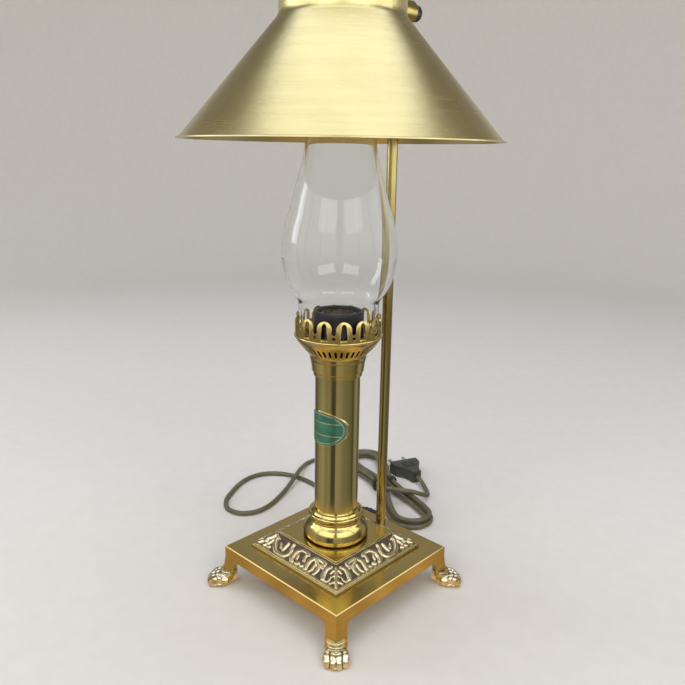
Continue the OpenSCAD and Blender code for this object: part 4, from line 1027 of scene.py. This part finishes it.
hank_line = [np.array(hank_point(k)) for k in range(hank_last + 1)]
hank_line = ([hank_line[0] - (x, 0, 0) for x in (10, 5)] + hank_line
             + [hank_line[-1] + p for p in ((4.94, -0.59, 0.49), (9.87, -1.19, 0.99))])
cord_points = lead_points + [on_table(p) for p in hank_line + tail_points + [(*plug_seat, 7)]]
cord_line = [np.maximum(p, (-999, -999, cord_on_table)) for p in smooth_curve(cord_points, 4)]
mains_cord = tube_mesh("mains_cord", cord_line, cord_r)
dress(mains_cord, plastic("cord_sheath", Colour=(0.110, 0.098, 0.052, 1),
                          Wear_Colour=(0.165, 0.148, 0.090, 1), Texture_Size=700.0, Roughness=0.4, bump=0.15))
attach(mains_cord, "base")
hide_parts("cord_lead", "cord_hank", "cord_tail")


# Camera
# It stands in front of the plinth's corner and a little above the shade's rim, as in the photograph.
camera_place = (0.39119, -0.40392, 0.37806)
yaw, pitch, roll = math.radians(43.72), math.radians(15.034), math.radians(0.9)
camera_data = bpy.data.cameras.new("camera")
camera_data.lens = 36.82
camera_data.sensor_width = 36
camera_data.sensor_fit = "HORIZONTAL"
camera_data.clip_start = 0.05
camera_data.clip_end = 20
camera = shown("camera", camera_data)
bpy.context.scene.camera = camera
ahead = Vector((-math.sin(yaw) * math.cos(pitch), math.cos(yaw) * math.cos(pitch), -math.sin(pitch)))
level_right = Vector((math.cos(yaw), math.sin(yaw), 0))
level_up = level_right.cross(ahead)
camera_right = level_right * math.cos(roll) + level_up * math.sin(roll)
camera_up = level_up * math.cos(roll) - level_right * math.sin(roll)
camera.matrix_world = (Matrix.Translation(camera_place)
                       @ Matrix((camera_right, camera_up, -ahead)).transposed().to_4x4())


# Floor
# A plain pale floor that sweeps up behind the lamp into a dimmer backdrop.
floor_r, sweep_r, backdrop_top, floor_z, floor_sides = 1.6, 0.9, 3.2, -0.0002, 96
floor_rings = arc(floor_r, sweep_r, sweep_r, -90, 0, 11) + [(floor_r + sweep_r, backdrop_top)]
turns = [2 * math.pi * j / floor_sides for j in range(floor_sides)]
points = [(0, 0, floor_z)] + [(r * math.cos(a), r * math.sin(a), z + floor_z)
                              for r, z in floor_rings for a in turns]
faces = [(0, 1 + j, 1 + (j + 1) % floor_sides) for j in range(floor_sides)]
for i in range(len(floor_rings) - 1):
    for j in range(floor_sides):
        a, b = 1 + i * floor_sides + j, 1 + i * floor_sides + (j + 1) % floor_sides
        faces.append((a, a + floor_sides, b + floor_sides, b))
studio_floor = built("studio_floor", points, faces)
floor_paint, tree, shader = bare_material("studio_floor")
place = own_place(tree)
speckled = mixed(tree, noise(tree, place, 60.0, 5.0), (0.70, 0.665, 0.61, 1), (0.76, 0.725, 0.67, 1))
height = put(tree, "ShaderNodeSeparateXYZ", {0: place}).outputs["Z"]
feed(shader, {"Base Color": mixed(tree, ramp(tree, height, 1.0, 1.35), speckled, (0.42, 0.39, 0.35, 1)),
              "Roughness": 0.9, "Specular IOR Level": 0})
dress(studio_floor, floor_paint)


# Reflection cards
# Cards that glow but light nothing and show only in polished metal and glass, as painted reflections: a ring
# of pale, grey and dark cards close round the column, a warm board round the plinth, painted like a wooden
# table, a dark board on the floor and a row of tall windows further out and higher.
camera_bearing = -45.9
card_steps, card_r, board_r, board_z, card_z = 240, 0.27, 1.5, 0.0005, 0.13
warm_from, warm_to, grey_from, card_top_near, card_top_far = 0.075, 0.155, 0.18, 0.131, 0.26
card_white, warm_tone, board_tone = (1, 0.97, 0.92), (0.72, 0.49, 0.25), (0.24, 0.20, 0.16)

# The windows' edges are turns from the camera, in degrees to the right. They glow from the second height up.
window_edges = ((6, 34), (38, 66), (70, 100), (-34, -6), (-66, -38), (-100, -70))
window_r, window_steps = 0.6, 8
window_heights, window_glow, window_blue = (0.22, 0.34, 0.92), (0.5, 2.0, 2.0), (0.02, 0.05, 0.05)

# The ring's tone by the turn from the camera, in degrees to the right
card_tones = {
    -180: 0.42, -150: 0.42, -138: 0.12, -128: 0.12, -120: 0.20, -97: 0.38, -72: 0.50, -55: 0.32, -40: 0.40,
    -30: 0.26, -25: 0.08, -8: 0.11, -5: 0.46, 18: 0.42, 28: 0.32, 60: 0.25, 78: 0.19, 84: 0.09, 92: 0.15,
    100: 0.38, 118: 0.38, 128: 0.12, 138: 0.12, 150: 0.42, 180: 0.42}
points, faces, tones = [], [], []


def strip(columns):
    """Add a board, from columns of (distance, turn from the camera, height, tone)."""
    first, high = len(points), len(columns[0])
    for r, turn, z, tone in (corner for column in columns for corner in column):
        a = math.radians(turn + camera_bearing)
        points.append((r * math.cos(a), r * math.sin(a), z))
        tones.extend((*tone, 1))
    for start in (first + high * j + k for j in range(len(columns) - 1) for k in range(high - 1)):
        faces.append((start, start + 1, start + high + 1, start + high))


ring = []
for turn in np.linspace(-180, 180, card_steps + 1):
    grey = float(np.interp(turn, list(card_tones), list(card_tones.values()))) * np.array(card_white)
    a = math.radians(turn + camera_bearing)
    # Warm streaks on the board round the plinth: a painted reflection of a wooden table
    warm = (1 + 0.22 * math.sin(a * 9) * math.sin(a * 5 + 1)) * np.array(warm_tone)
    card_top = float(np.interp(abs(turn), [100, 125], [card_top_near, card_top_far]))
    ring.append([(warm_from, turn, board_z, warm), (warm_to, turn, board_z, warm),
                 (grey_from, turn, board_z, grey), (card_r, turn, board_z, grey),
                 (card_r, turn, card_z, grey), (card_r, turn, card_top, grey)])
strip(ring)
strip([[(r, turn, board_z, board_tone) for r in (card_r + 0.002, board_r)]
       for turn in np.linspace(-180, 180, 97)])
for near, far in window_edges:
    strip([[(window_r, turn, z, (glow, glow + blue, glow + 2 * blue))
            for z, glow, blue in zip(window_heights, window_glow, window_blue)]
           for turn in np.linspace(near, far, window_steps + 1)])
cards = built("mirror_cards", points, faces)
card_tone = cards.data.attributes.new("tone", "FLOAT_COLOR", "POINT")
card_tone.data.foreach_set("color", np.array(tones, np.float32))
card_glow, tree, shader = bare_material("mirror_cards")
# The cards glow: painted reflections that only metal and glass see
feed(shader, {"Base Color": (0, 0, 0, 1), "Specular IOR Level": 0, "Emission Strength": 1,
              "Emission Color": put(tree, "ShaderNodeAttribute", attribute_name="tone").outputs["Color"]})
dress(cards, card_glow)
cards.visible_camera = False
cards.visible_diffuse = False
cards.visible_transmission = False
cards.visible_shadow = False


# Light
# Two soft windows in front, a small one at the left, a broad soft box overhead and a dim even sky.
world = bpy.data.worlds.new("studio")
world.use_nodes = True
feed(world.node_tree.nodes["Background"], {"Color": (0.9, 0.93, 1.0, 1), "Strength": 0.35})
bpy.context.scene.world = world


def softbox(name, size, power, colour, matrix):
    """A flat rectangular studio lamp."""
    light = bpy.data.lights.new(name, "AREA")
    light.shape = "RECTANGLE"
    light.size, light.size_y = size
    light.energy = power
    light.color = colour
    shown(name, light).matrix_world = matrix


def aimed(place, aim):
    """At a place and turned towards its aim."""
    way = Vector(aim) - Vector(place)
    return Matrix.Translation(place) @ way.to_track_quat("-Z", "Y").to_matrix().to_4x4()


softbox("left_window", (1.5, 1.3), 19, (1.0, 0.985, 0.95), aimed((0.5, -1.8, 1.5), (0, 0, 0.12)))
softbox("right_window", (1.5, 1.3), 19, (1.0, 0.985, 0.95), aimed((1.8, -0.45, 1.5), (0, 0, 0.12)))
softbox("left_fill", (0.45, 0.9), 6, (0.90, 0.96, 1.0), aimed((-1.5, -0.9, 0.8), (0, 0, 0.25)))
softbox("overhead", (1.7, 2.0), 17, (0.90, 0.97, 1.18),
        Matrix.Translation((-0.03, 0.03, 1.9)) @ Matrix.Rotation(math.radians(camera_bearing), 4, "Z"))

bpy.context.scene.view_settings.view_transform = "Standard"
